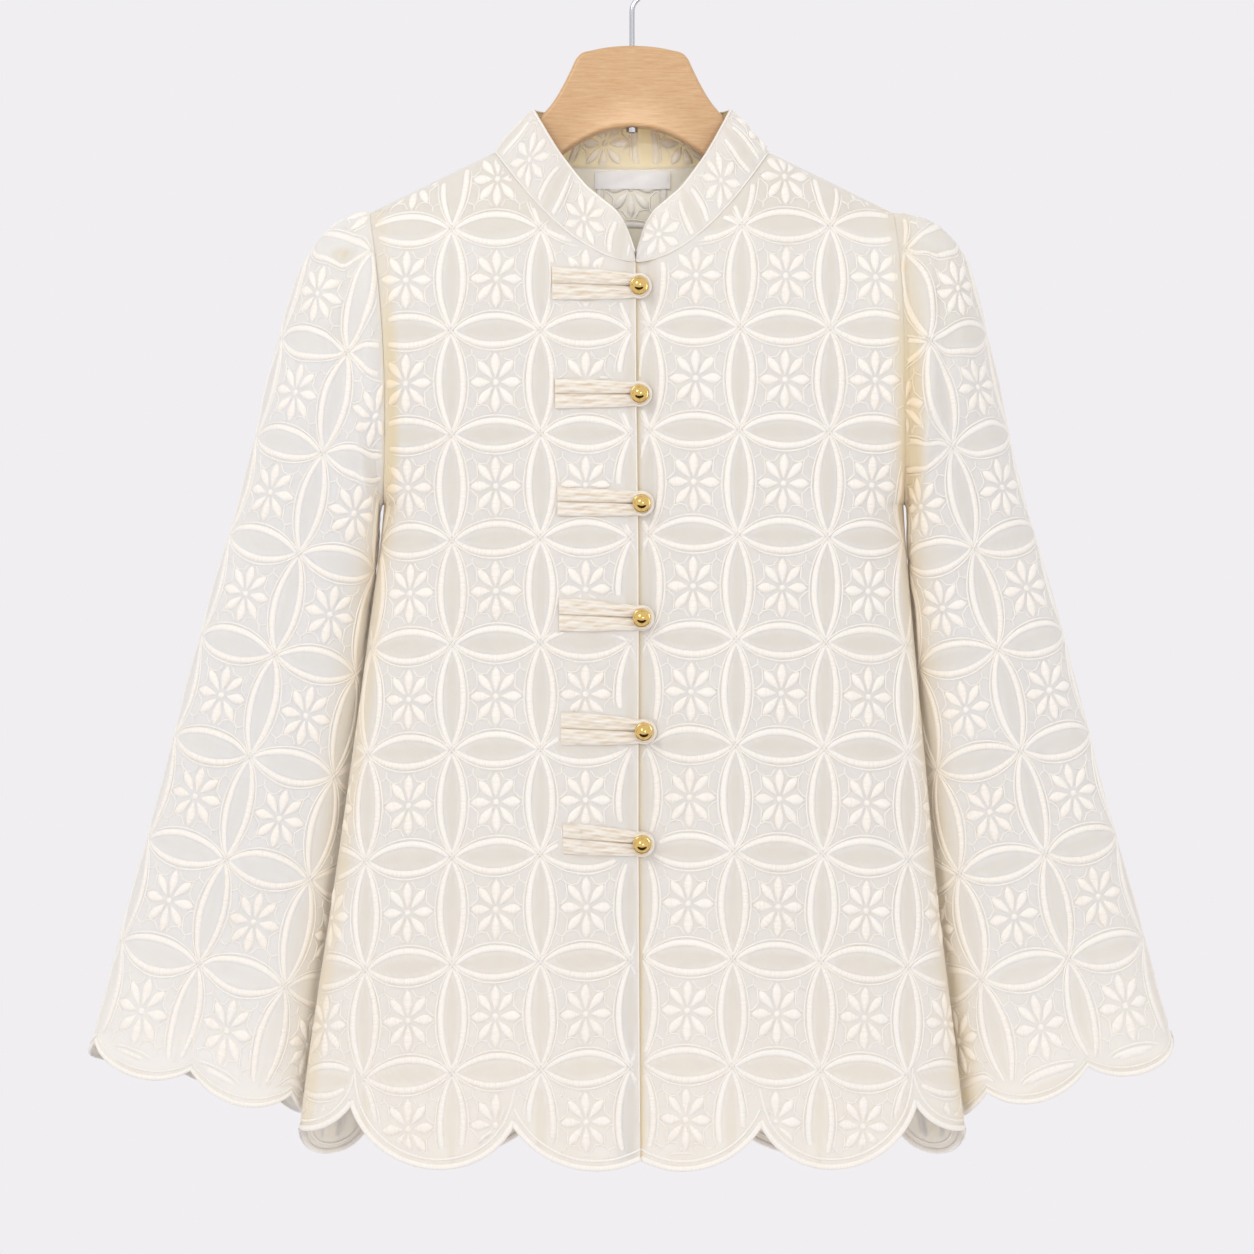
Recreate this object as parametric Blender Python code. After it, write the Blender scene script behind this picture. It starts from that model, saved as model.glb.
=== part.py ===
"""A women's blouse of sheer embroidered cloth on a shaped wooden hanger.

Metres, +Z up, the front faces -Y and +X is the wearer's left, which is the viewer's right.
The origin is the inner crown of the hanger's hook, where a rail carries it, and "drop" is the
distance below it. Each cloth piece is a wall: a grid of outer points and the same grid moved
inwards along its normals. "side" is -1 for the viewer's left and +1 for the viewer's right.
"""

import math

import bpy
import numpy as np

# Driving dimensions of the cloth
CLOTH = 0.0012  # wall of the embroidered cloth
SEAM_GAP = 0.0004  # between two pieces that are sewn together
LAY_GAP = 0.0004  # between a panel and what lies on it
UNDERLAP = 0.016  # how far the right front runs under the left one
UNDERLAP_DEPTH = 0.0021  # how much deeper it lies there
UNDERLAP_FLAT = 0.035  # that depth ends here and is gone there, in shares of a front's width
UNDERLAP_END = 0.090

# Shoulder and neck
NECK_HALF = 0.0935  # from the centre to the foot of the collar at the side of the neck
NECK_SIDE_DROP = 0.152
NECK_FRONT_DROP = 0.230
NECK_BACK_DROP = 0.160
NECK_FRONT_POWER = 1.85
NECK_BACK_POWER = 3
NECK_LEAN = 0.003  # sideways lean of the front neckline's lowest point
SHOULDER_SLOPE = 0.488
TIP_HALF = 0.1775
TIP_DROP = 0.193
SHOULDER_TURN = 0.115  # how far below the shoulder seam a panel reaches its full depth

# Armhole
UNDERARM_DROP = 0.391
ARMHOLE_DEPTH = 0.037

# The body: half width at the sides, sideways lean of the middle, full depth of front and back
BODY_COLUMNS = ("drop", "half", "lean", "front", "back")
BODY = (
    (0.100, 0.1775, 0.0000, 0.036, 0.036),
    (0.193, 0.1775, 0.0000, 0.038, 0.038),
    (0.230, 0.1762, 0.0040, 0.038, 0.039),
    (0.270, 0.1750, 0.0070, 0.039, 0.041),
    (0.320, 0.1745, 0.0085, 0.041, 0.042),
    (0.391, 0.1765, 0.0080, 0.043, 0.042),
    (0.477, 0.1850, 0.0062, 0.044, 0.042),
    (0.570, 0.1955, 0.0042, 0.045, 0.042),
    (0.660, 0.2060, 0.0020, 0.046, 0.043),
    (0.764, 0.2200, 0.0005, 0.048, 0.045),
    (0.850, 0.2300, 0.0000, 0.050, 0.047),
)
SIDE_ROUND = 2.6  # of the body's superellipse below the underarm
SHOULDER_ROUND = 9.0  # of it at the shoulder, where the armhole's oval rounds the panel off
SIDE_TURN = 2.2

# The visible front edge: its sideways place down the closing
EDGE_COLUMNS = ("drop", "x")
EDGE = (
    (0.215, 0.0023),
    (0.250, 0.0025),
    (0.320, 0.0029),
    (0.400, 0.0040),
    (0.640, 0.0044),
    (0.850, 0.0056),
)

HEM_HALF = 0.2265
# Hem scallops: start and end in shares of the width from the front edge (for the back, from one
# side), drop at the start and at the end, sag
FRONT_HEM = (
    (-0.080, 0.367, 0.8163, 0.8083, 0.0250),
    (0.367, 0.850, 0.8083, 0.7969, 0.0345),
    (0.850, 1.150, 0.7969, 0.7969, 0.0185),
)
BACK_HEM = (
    (-0.002, 0.104, 0.8150, 0.8080, 0.0240),
    (0.104, 0.368, 0.8080, 0.8070, 0.0320),
    (0.368, 0.632, 0.8070, 0.8070, 0.0320),
    (0.632, 0.896, 0.8070, 0.8080, 0.0320),
    (0.896, 1.002, 0.8080, 0.8150, 0.0240),
)
HEM_WAVE = 0.0030
WAIST_DROP = 0.430  # where the waves that reach the hem begin
WAVE_FULL_DROP = 0.840  # where they are at their full depth
WAVE_RADIANS = 9.0  # that they go through from the middle to the side
WAVE_SHIFT = 1.2

# Grid density of the solids
FRONT_COLUMNS = 19
BACK_COLUMNS = 31
FIRST_ROWS = (0.0, 0.0012, 0.0045, 0.011, 0.022, 0.040)  # below the top edge
MORE_ROWS = 14
SLEEVE_POINTS = 35  # seven for each scallop of the cuff
FINE_POINTS = 360
COLLAR_ROWS = 5

# The right sleeve, ring by ring from the armhole: outer point, inner point, half depth.
# "clear" is how far the inner point stands outside the body's side.
SLEEVE_COLUMNS = ("out_x", "out_drop", "in_drop", "clear", "depth", "back", "square")
SLEEVE = (
    (0.1850, 0.1938, 0.3925, 0.0020, 0.0345, 0.000, 2.05),
    (0.1950, 0.1970, 0.3950, 0.0030, 0.0350, 0.000, 2.10),
    (0.2060, 0.2045, 0.3990, 0.0030, 0.0385, 0.001, 2.15),
    (0.2155, 0.2160, 0.4040, 0.0028, 0.0415, 0.002, 2.20),
    (0.2250, 0.2330, 0.4110, 0.0022, 0.0420, 0.004, 2.20),
    (0.2335, 0.2555, 0.4200, 0.0016, 0.0415, 0.006, 2.25),
    (0.2415, 0.2830, 0.4310, 0.0012, 0.0400, 0.008, 2.30),
    (0.2510, 0.3190, 0.4450, 0.0008, 0.0380, 0.010, 2.30),
    (0.2610, 0.3600, 0.4640, 0.0004, 0.0355, 0.012, 2.30),
    (0.2740, 0.4080, 0.4900, 0.0002, 0.0330, 0.014, 2.30),
    (0.2910, 0.4640, 0.5260, 0.0001, 0.0310, 0.015, 2.30),
    (0.3090, 0.5340, 0.5830, 0.0000, 0.0295, 0.016, 2.30),
    (0.3260, 0.6000, 0.6430, 0.0000, 0.0290, 0.016, 2.30),
    (0.3430, 0.6600, 0.7000, 0.0000, 0.0295, 0.016, 2.30),
    (0.3560, 0.7120, 0.7500, 0.0000, 0.0305, 0.016, 2.30),
    (0.3655, 0.7425, 0.7810, 0.0000, 0.0315, 0.016, 2.30),
    (0.3695, 0.7560, 0.7945, 0.0000, 0.0320, 0.016, 2.30),
)
HEAD_PUFF = {-1: 0.0010, 1: 0.0060}  # how much fuller the sleeve's head stands on each side
HEAD_PUFF_RING = 3.6
HEAD_PUFF_WIDTH = 1.7
HEAD_PUFF_SHARE = 0.7  # of the puff that goes outwards, and as much goes up
CUFF_SCALLOPS = 5
CUFF_SAG = 0.0145
CUFF_FIRST_NOTCH = {-1: 8, 1: 7}  # the ring point in front that a notch falls on
CUFF_RINGS = 4  # the last rings take up the scallops' length
CUFF_WAVE = 0.0028
CUFF_WAVE_START = 7  # the ring where the waves that reach the cuff begin
CUFF_WAVES = 3
CUFF_WAVE_SHIFT = 0.8

# Tucks that gather the sleeve's head: place round the ring in degrees, depth, width in degrees
TUCKS = (
    (24.0, 0.0050, 8.0),
    (46.0, 0.0060, 9.0),
    (-24.0, 0.0050, 8.0),
    (-46.0, 0.0055, 9.0),
)
TUCK_RING = 1.5
TUCK_FADE = 2.6  # in rings

# The collar: how its top edge stands over its foot, from the closing to the side of the neck
COLLAR_COLUMNS = ("foot", "inward", "rise", "lean")
COLLAR = (
    (0.00, 0.0000, 0.0045, 0.0010),
    (0.07, 0.0025, 0.0190, 0.0060),
    (0.20, 0.0080, 0.0300, 0.0140),
    (0.37, 0.0115, 0.0335, 0.0175),
    (0.50, 0.0145, 0.0325, 0.0180),
    (0.62, 0.0165, 0.0335, 0.0155),
    (0.75, 0.0200, 0.0320, 0.0120),
    (0.87, 0.0230, 0.0315, 0.0070),
    (1.00, 0.0265, 0.0300, 0.0000),
)
COLLAR_BACK_RISE = 0.038
COLLAR_BACK_LEAN = 0.003
COLLAR_BOW = 0.0012
COLLAR_GAP = 0.0005
COLLAR_END_GAP = 0.0004  # between the two ends at the closing

# Buttons and their loops, from the top: the button's drop and x, the loop's far x and drop, the
# loop's height
BUTTONS = (
    (0.2461, 0.0046, -0.0534, 0.2442, 0.0217),
    (0.3186, 0.0049, -0.0514, 0.3184, 0.0198),
    (0.3919, 0.0064, -0.0498, 0.3906, 0.0190),
    (0.4684, 0.0064, -0.0488, 0.4661, 0.0218),
    (0.5443, 0.0079, -0.0474, 0.5420, 0.0218),
    (0.6195, 0.0066, -0.0461, 0.6152, 0.0206),
)
BALL_RADIUS = 0.0059
SHANK_RADIUS = 0.0013
RIM_RADIUS = 0.0064
BUTTON_SIDES = 14
RIM_HEIGHT = 0.0012
BALL_SUNK = 0.80  # of the ball's radius from the rim to its middle
LOOP_THICKNESS = 0.0022
LOOP_EDGE_SHARE = 0.55  # of that thickness at the loop's edges
LOOP_STEPS = 5
EYE_STEPS = 9
EYE_TURN = 112.0  # degrees each way
EYE_RADIUS = 0.0027
EYE_OUTER = 0.0086
SLIT_HALF = 0.0004
SLIT_FLARE = 0.0008
SLIT_END = 1.35  # where the slit meets the eye, in the eye's own steps

# Label at the back neck
LABEL_WIDTH = 0.052
LABEL_TOP_DROP = 0.1612
LABEL_HEIGHT = 0.0115
LABEL_THICKNESS = 0.0006
LABEL_GAP = 0.0008

# Hanger
WOOD_HALF_THICKNESS = 0.0065
WOOD_EDGE_ROUND = 0.0026
# Upper and lower outline of its right half: x and drop
WOOD_TOP = (
    (0.0000, 0.0796),
    (0.0150, 0.0806),
    (0.0270, 0.0828),
    (0.0345, 0.0850),
    (0.0375, 0.0880),
    (0.0410, 0.0950),
    (0.0470, 0.1070),
    (0.0540, 0.1185),
    (0.0625, 0.1285),
    (0.0740, 0.1425),
    (0.0880, 0.1568),
    (0.1040, 0.1614),
    (0.1300, 0.1728),
    (0.1480, 0.1824),
    (0.1570, 0.1896),
    (0.1605, 0.1990),
)
WOOD_UNDER = (
    (0.0000, 0.1347),
    (0.0160, 0.1368),
    (0.0320, 0.1432),
    (0.0486, 0.1545),
    (0.0650, 0.1690),
    (0.0850, 0.1840),
    (0.1100, 0.1970),
    (0.1330, 0.2065),
    (0.1490, 0.2100),
    (0.1570, 0.2070),
    (0.1605, 0.1990),
)
WOOD_TOP_POINTS = 24
WOOD_UNDER_POINTS = 16
BORE_RADIUS = 0.0022
BORE_ENDS = (0.060, 0.150)
WIRE_RADIUS = 0.0018
WIRE_SIDES = 10
WIRE_END_SHARE = 0.6  # of its radius at its rounded ends
HOOK_RADIUS = 0.0220  # of the wire's centreline
HOOK_STEM_DROPS = (0.1350, 0.1100, 0.0800)
HOOK_BEND_DROP = 0.0514
HOOK_BEND = 0.0045  # length of the bend's tangents
HOOK_START_DEGREES = -45.0
HOOK_OPEN_DEGREES = 212.0
HOOK_STEP_DEGREES = 11.0
NUT_RADIUS = 0.0040
NUT_TOP_DROP = 0.1353
NUT_HEIGHT = 0.0030
NUT_SIDES = 6

# Finishes: base colour, roughness, metallic
FINISHES = {
    "embroidered_cloth": ((0.90, 0.86, 0.78, 1.0), 0.75, 0.0),
    "label_satin": ((0.85, 0.84, 0.81, 1.0), 0.50, 0.0),
    "gold": ((0.83, 0.60, 0.22, 1.0), 0.15, 1.0),
    "beech": ((0.72, 0.48, 0.27, 1.0), 0.45, 0.0),
    "steel": ((0.60, 0.61, 0.63, 1.0), 0.22, 1.0),
}


def clear_scene():
    """Removes every object that the file opens with."""
    for old in list(bpy.data.objects):
        bpy.data.objects.remove(old, do_unlink=True)


def material(name):
    """The Principled material of one finish."""
    found = bpy.data.materials.get(name)
    if found:
        return found
    colour, roughness, metallic = FINISHES[name]
    made = bpy.data.materials.new(name)
    made.use_nodes = True
    shader = made.node_tree.nodes["Principled BSDF"]
    shader.inputs["Base Color"].default_value = colour
    shader.inputs["Roughness"].default_value = roughness
    shader.inputs["Metallic"].default_value = metallic
    return made


def read(table, columns, name, at):
    """A table's column as a smooth function of its first one, by a cubic through the rows."""
    rows = np.asarray(table, dtype=float)
    knots = rows[:, 0]
    values = rows[:, columns.index(name)]
    slopes = np.gradient(values, knots)
    at = np.clip(np.asarray(at, dtype=float), knots[0], knots[-1])
    i = np.clip(np.searchsorted(knots, at, side="right") - 1, 0, len(knots) - 2)
    step = knots[i + 1] - knots[i]
    t = (at - knots[i]) / step
    return (
        values[i] * (1 + 2 * t) * (1 - t) ** 2
        + slopes[i] * step * t * (1 - t) ** 2
        + values[i + 1] * t * t * (3 - 2 * t)
        - slopes[i + 1] * step * t * t * (1 - t)
    )


def body(name, drop):
    """One column of the body's table at a drop."""
    return read(BODY, BODY_COLUMNS, name, drop)


def edge_x(drop):
    """Sideways place of the left front's edge."""
    return read(EDGE, EDGE_COLUMNS, "x", drop)


def side_x(side, drop):
    """Sideways place of the armhole and side seam."""
    return body("lean", drop) + side * body("half", drop)


def shoulder_drop(x):
    """Drop of the shoulder seam's line, which a parabola carries on over the neck."""
    away = np.abs(x)
    crest = (away**2 / NECK_HALF - NECK_HALF) / 2
    rise = np.where(away < NECK_HALF, crest, away - NECK_HALF)
    return NECK_SIDE_DROP + rise * SHOULDER_SLOPE


def neck_drop(x, facing):
    """Drop of the neckline at x, in front (facing -1) or at the back (+1)."""
    if facing < 0:
        middle = NECK_LEAN * (1 - np.abs(x) / NECK_HALF)
        share = np.clip(np.abs(x - middle) / NECK_HALF, 0, 1)
        return NECK_FRONT_DROP - (NECK_FRONT_DROP - NECK_SIDE_DROP) * share**NECK_FRONT_POWER
    share = np.clip(np.abs(x) / NECK_HALF, 0, 1)
    return NECK_BACK_DROP - (NECK_BACK_DROP - NECK_SIDE_DROP) * share**NECK_BACK_POWER


def top_drop(x, facing):
    """Drop of a panel's top edge: the neckline, then the shoulder seam."""
    return np.where(np.abs(x) < NECK_HALF, neck_drop(x, facing), shoulder_drop(x))


def armhole_depth(drop):
    """Depth of the armhole's oval at a drop, nought outside it."""
    middle = (TIP_DROP + UNDERARM_DROP) / 2
    half = (UNDERARM_DROP - TIP_DROP) / 2
    return ARMHOLE_DEPTH * np.sqrt(np.clip(1 - ((drop - middle) / half) ** 2, 0, 1))


def panel_depth(x, drop, facing):
    """How far a panel's outer face stands from the middle plane.

    A superellipse across, from the armhole's oval or the side seam to the full depth, which
    a quarter ellipse lets grow from nothing at the shoulder seam; soft waves grow to the hem.
    """
    half = body("half", drop)
    share = np.clip(np.abs(x - body("lean", drop)) / half, 0, 1)
    below = np.clip((drop - shoulder_drop(x)) / SHOULDER_TURN, 0, 1)
    full = body("front" if facing < 0 else "back", drop) * np.sqrt(1 - (1 - below) ** 2)
    lower = np.clip((drop - NECK_SIDE_DROP) / (UNDERARM_DROP - NECK_SIDE_DROP), 0, 1)
    power = SHOULDER_ROUND + (SIDE_ROUND - SHOULDER_ROUND) * lower * (2 - lower)
    swell = (1 - share**power) ** (1 / SIDE_TURN)
    rim = armhole_depth(drop)
    wave = HEM_WAVE * np.clip((drop - WAIST_DROP) / (WAVE_FULL_DROP - WAIST_DROP), 0, 1)
    wave = wave * np.sin(share * WAVE_RADIANS + WAVE_SHIFT * facing) * swell
    return rim + (full - rim) * swell + wave


def arc(share, chord, sag):
    """Height of a circular arc over its chord, nought at both ends and sag in the middle."""
    radius = (chord**2 / 4 + sag**2) / (2 * sag)
    away = (share - 0.5) * chord
    return np.sqrt(np.clip(radius**2 - away**2, 0, None)) - (radius - sag)


def hem_drop(share, scallops, width):
    """Drop of the scalloped hem at a share of the panel's width."""
    drop = np.zeros_like(share)
    for start, end, first, last, sag in scallops:
        inside = (share >= start) & (share <= end)
        t = (share - start) / (end - start)
        height = first + (last - first) * t + arc(t, (end - start) * width, sag)
        drop = np.where(inside, height, drop)
    return drop


def scallop_shares(scallops, count):
    """Column places that fall on every notch, with the same number in each scallop's width."""
    marks = [0.0]
    for start, end, *_ in scallops:
        low, high = max(start, 0.0), min(end, 1.0)
        steps = max(4, round((high - low) * (count - 1)))
        marks += list(np.linspace(low, high, steps + 1)[1:])
    return np.array(marks)


def row_drops(top, bottom):
    """Drops of a panel's rows: a few close ones round the shoulder, then even ones to the hem."""
    first = top + np.array(FIRST_ROWS)[:, None]
    even = np.linspace(0, 1, MORE_ROWS + 1)[1:, None]
    return np.concatenate([first, first[-1] + (bottom - first[-1]) * even])


def normals(points, round_again):
    """Unit normals of a grid of points from its two directions."""
    if round_again:
        wrapped = np.concatenate([points[:, -1:], points, points[:, :1]], axis=1)
        across = (wrapped[:, 2:] - wrapped[:, :-2]) / 2
    else:
        across = np.gradient(points, axis=1)
    down = np.gradient(points, axis=0)
    found = np.cross(down, across)
    return found / np.maximum(np.linalg.norm(found, axis=2, keepdims=True), 1e-12)


def wall_object(name, outer, inner, finish, round_again=False):
    """A closed wall between two grids of points, its outer face on the first grid.

    Rows run down and columns across; with round_again the last column meets the first one.
    """
    rows, columns = outer.shape[:2]
    points = np.concatenate([outer.reshape(-1, 3), inner.reshape(-1, 3)])
    behind = rows * columns
    spans = columns if round_again else columns - 1

    def at(i, j):
        return i * columns + j % columns

    faces = []
    for i in range(rows - 1):
        for j in range(spans):
            a, b, c, d = at(i, j), at(i + 1, j), at(i + 1, j + 1), at(i, j + 1)
            faces.append((a, b, c, d))
            faces.append((d + behind, c + behind, b + behind, a + behind))
    for j in range(spans):
        a, b = at(0, j), at(0, j + 1)
        faces.append((a, b, b + behind, a + behind))
        a, b = at(rows - 1, j), at(rows - 1, j + 1)
        faces.append((b, a, a + behind, b + behind))
    if not round_again:
        for i in range(rows - 1):
            a, b = at(i, 0), at(i + 1, 0)
            faces.append((b, a, a + behind, b + behind))
            a, b = at(i, columns - 1), at(i + 1, columns - 1)
            faces.append((a, b, b + behind, a + behind))
    return mesh_object(name, points, faces, finish)


def mesh_object(name, points, faces, finish):
    """A smooth-shaded object from points and faces, turned the right way out."""
    mesh = bpy.data.meshes.new(name)
    mesh.from_pydata([tuple(map(float, p)) for p in points], [], faces)
    mesh.validate()
    corners = np.array([mesh.vertices[i].co for p in mesh.polygons for i in tri(p)])
    corners = corners.reshape(-1, 3, 3)
    volume = np.einsum("ij,ij->", corners[:, 0], np.cross(corners[:, 1], corners[:, 2]))
    if volume < 0:
        mesh.flip_normals()
    mesh.shade_smooth()
    mesh.set_sharp_from_angle(angle=math.radians(50))
    mesh.materials.append(material(finish))
    made = bpy.data.objects.new(name, mesh)
    bpy.context.scene.collection.objects.link(made)
    return made


def tri(polygon):
    """A polygon's corners as a fan of triangles."""
    corners = list(polygon.vertices)
    fan = []
    for k in range(1, len(corners) - 1):
        fan += [corners[0], corners[k], corners[k + 1]]
    return fan


def panel_object(name, share, x_top, ends, facing, bottom, deeper=0.0):
    """A panel whose columns run from its top edge down to the hem.

    ends(drop) gives the sideways places of its two long edges, and bottom the hem's drops.
    Neither face comes nearer the middle plane than half a seam's gap.
    """
    drop = row_drops(top_drop(x_top, facing), bottom)
    first, last = ends(drop)
    x = first + (last - first) * share
    outermost = np.abs(x_top) / np.abs(x_top).max()
    blend = np.clip((drop - drop[0]) / FIRST_ROWS[-1] + outermost**30, 0, 1)
    x = x_top + (x - x_top) * blend
    depth = np.maximum(panel_depth(x, drop, facing) - deeper, SEAM_GAP / 2)
    outer = np.stack([x, facing * depth, -drop], axis=2)
    way = normals(outer, False)
    if way[:, :, 1].sum() * facing < 0:
        way = -way
    inner = outer - way * CLOTH
    inner[:, :, 1] = facing * np.maximum(facing * inner[:, :, 1], SEAM_GAP / 2)
    return wall_object(name, outer, inner, "embroidered_cloth")


def front_share(side):
    """Column places of a front; the right one has more, under the left one and beside it."""
    share = scallop_shares(FRONT_HEM, FRONT_COLUMNS)
    if side < 0:
        return share
    under = -UNDERLAP / (TIP_HALF * 1.25)
    return np.concatenate([[under, under / 2, 0.0, UNDERLAP_FLAT], share[1:]])


def front_top(side):
    """Sideways places of a front's columns on its top edge, one at the side of the neck."""
    first = float(edge_x(NECK_FRONT_DROP))
    last = side * (TIP_HALF - SEAM_GAP / 2)
    x = first + (last - first) * front_share(side)
    x[np.argmin(np.abs(x - side * NECK_HALF))] = side * NECK_HALF
    return x


def back_share():
    """Column places of the back."""
    return scallop_shares(BACK_HEM, BACK_COLUMNS)


def back_top():
    """Sideways places of the back's columns on its top edge, one at each side of the neck."""
    x = (back_share() * 2 - 1) * (TIP_HALF - SEAM_GAP / 2)
    for mark in (-NECK_HALF, NECK_HALF):
        x[np.argmin(np.abs(x - mark))] = mark
    return x


def front(side):
    """One front panel, from its closing edge to the armhole and side seam."""
    share = front_share(side)

    def ends(drop):
        return edge_x(drop), side_x(side, drop) - side * SEAM_GAP / 2

    deeper = 0.0
    if side > 0:
        near = np.clip((UNDERLAP_END - share) / (UNDERLAP_END - UNDERLAP_FLAT), 0, 1)
        deeper = UNDERLAP_DEPTH * near**2 * (3 - 2 * near)
    bottom = hem_drop(np.abs(share), FRONT_HEM, HEM_HALF)
    name = "front_right" if side > 0 else "front_left"
    return panel_object(name, share, front_top(side), ends, -1, bottom, deeper)


def back():
    """The back, from one side to the other."""
    share = back_share()

    def ends(drop):
        return side_x(-1, drop) + SEAM_GAP / 2, side_x(1, drop) - SEAM_GAP / 2

    bottom = hem_drop(share, BACK_HEM, 2 * HEM_HALF)
    return panel_object("back", share, back_top(), ends, 1, bottom)


def even_ring(points):
    """A closed ring of points as SLEEVE_POINTS ones, evenly spaced along it.

    The first one is half a space on from the ring's outer point, towards the front.
    """
    closed = np.concatenate([points, points[:1]])
    along = np.concatenate([[0], np.cumsum(np.linalg.norm(np.diff(closed, axis=0), axis=1))])
    at = (np.arange(SLEEVE_POINTS) + 0.5) / SLEEVE_POINTS * along[-1]
    return np.stack([np.interp(at, along, closed[:, i]) for i in range(3)], axis=1)


def sleeve_rings(side):
    """The sleeve's rings: rows are rings from the armhole to the cuff, columns go round.

    A ring lies in the plane of Y and the line from its outer to its inner point. It is a
    superellipse, its first one the armhole's own oval.
    """
    angle = np.linspace(0, 2 * math.pi, FINE_POINTS, endpoint=False)
    cosine, sine = np.cos(angle), np.sin(angle)
    table = np.asarray(SLEEVE)
    column = {name: table[:, i] for i, name in enumerate(SLEEVE_COLUMNS)}

    middle = (TIP_DROP + UNDERARM_DROP) / 2
    half = (UNDERARM_DROP - TIP_DROP) / 2
    drop = middle - half * cosine
    x = side_x(side, drop) + side * SEAM_GAP
    rings = [even_ring(np.stack([x, -ARMHOLE_DEPTH * sine, -drop], axis=1))]

    for k in range(len(table)):
        out_x, out_drop = column["out_x"][k], column["out_drop"][k]
        puff = math.exp(-(((k - HEAD_PUFF_RING) / HEAD_PUFF_WIDTH) ** 2) / 2)
        out_x += HEAD_PUFF[side] * puff * HEAD_PUFF_SHARE
        out_drop -= HEAD_PUFF[side] * puff * HEAD_PUFF_SHARE
        in_drop = column["in_drop"][k]
        in_x = abs(float(side_x(side, in_drop))) + column["clear"][k]
        power = 2 / column["square"][k]
        along = np.sign(cosine) * np.abs(cosine) ** power
        across = np.sign(sine) * np.abs(sine) ** power
        late = np.clip((k - CUFF_WAVE_START) / (len(table) - 1 - CUFF_WAVE_START), 0, 1)
        swing = late * CUFF_WAVE / column["depth"][k]
        across = across * (1 + swing * np.sin(CUFF_WAVES * angle + CUFF_WAVE_SHIFT))
        mid_x, mid_drop = (out_x + in_x) / 2, (out_drop + in_drop) / 2
        x = side * (mid_x + along * (out_x - in_x) / 2)
        drop = mid_drop + along * (out_drop - in_drop) / 2
        y = column["back"][k] - column["depth"][k] * across
        rings.append(even_ring(np.stack([x, y, -drop], axis=1)))
    return np.stack(rings)


def with_tucks(rings):
    """The rings with the tucks of the sleeve's head pressed in towards each ring's middle."""
    angle = (np.arange(SLEEVE_POINTS) + 0.5) * 360 / SLEEVE_POINTS
    angle = (angle + 180) % 360 - 180
    middle = rings.mean(axis=1, keepdims=True)
    inwards = middle - rings
    inwards /= np.linalg.norm(inwards, axis=2, keepdims=True)
    ring = np.arange(len(rings))[:, None]
    fade = np.exp(-((ring - TUCK_RING) ** 2) / (2 * TUCK_FADE**2)) * (ring > 0)
    press = np.zeros_like(angle)
    for at, depth, width in TUCKS:
        press = press + depth * np.exp(-(((angle - at) / width) ** 2) / 2)
    return rings + inwards * (fade * press)[:, :, None]


def with_cuff_scallops(rings, side):
    """The rings with the last ones drawn down the sleeve's axis to make the scalloped cuff."""
    steps = np.arange(SLEEVE_POINTS) - CUFF_FIRST_NOTCH[side]
    place = steps * CUFF_SCALLOPS / SLEEVE_POINTS % 1
    girth = np.linalg.norm(np.roll(rings[-1], 1, axis=0) - rings[-1], axis=1).sum()
    sag = arc(place, girth / CUFF_SCALLOPS, CUFF_SAG)
    axis = rings[-1].mean(axis=0) - rings[-CUFF_RINGS].mean(axis=0)
    axis /= np.linalg.norm(axis)
    for back_step in range(CUFF_RINGS):
        share = (1 - back_step / CUFF_RINGS) ** 2
        rings[len(rings) - 1 - back_step] += axis * (sag * share)[:, None]
    return rings


def sleeve(side):
    """One sleeve, a tube from the armhole to the cuff."""
    rings = with_cuff_scallops(with_tucks(sleeve_rings(side)), side)
    way = normals(rings, True)
    middle = rings.mean(axis=1, keepdims=True)
    if np.sum(way * (rings - middle)) < 0:
        way = -way
    way[0, :, 0] = 0
    way[0] /= np.linalg.norm(way[0], axis=1, keepdims=True)
    name = "sleeve_right" if side > 0 else "sleeve_left"
    return wall_object(name, rings, rings - way * CLOTH, "embroidered_cloth", True)


def collar_side(side):
    """Feet and lifts of the collar's front half on one side, from the closing outwards."""
    x = front_top(side)
    x = x[(np.abs(x) <= NECK_HALF) & (x * side >= edge_x(NECK_FRONT_DROP) * side)]
    ahead = (x[1:3] + x[0:2]) / 2
    x = np.sort(np.concatenate([x, ahead]))[::side]
    share = np.abs(x - x[0]) / abs(x[-1] - x[0])
    x[0] += side * COLLAR_END_GAP
    drop = neck_drop(x, -1)
    depth = np.maximum(panel_depth(x, drop, -1), SEAM_GAP / 2)
    foot = np.stack([x, -depth, -drop], axis=1)
    table = (COLLAR, COLLAR_COLUMNS)
    lift = (
        -side * read(*table, "inward", share),
        read(*table, "lean", share),
        read(*table, "rise", share),
    )
    return foot, np.stack(lift, axis=1)


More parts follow.
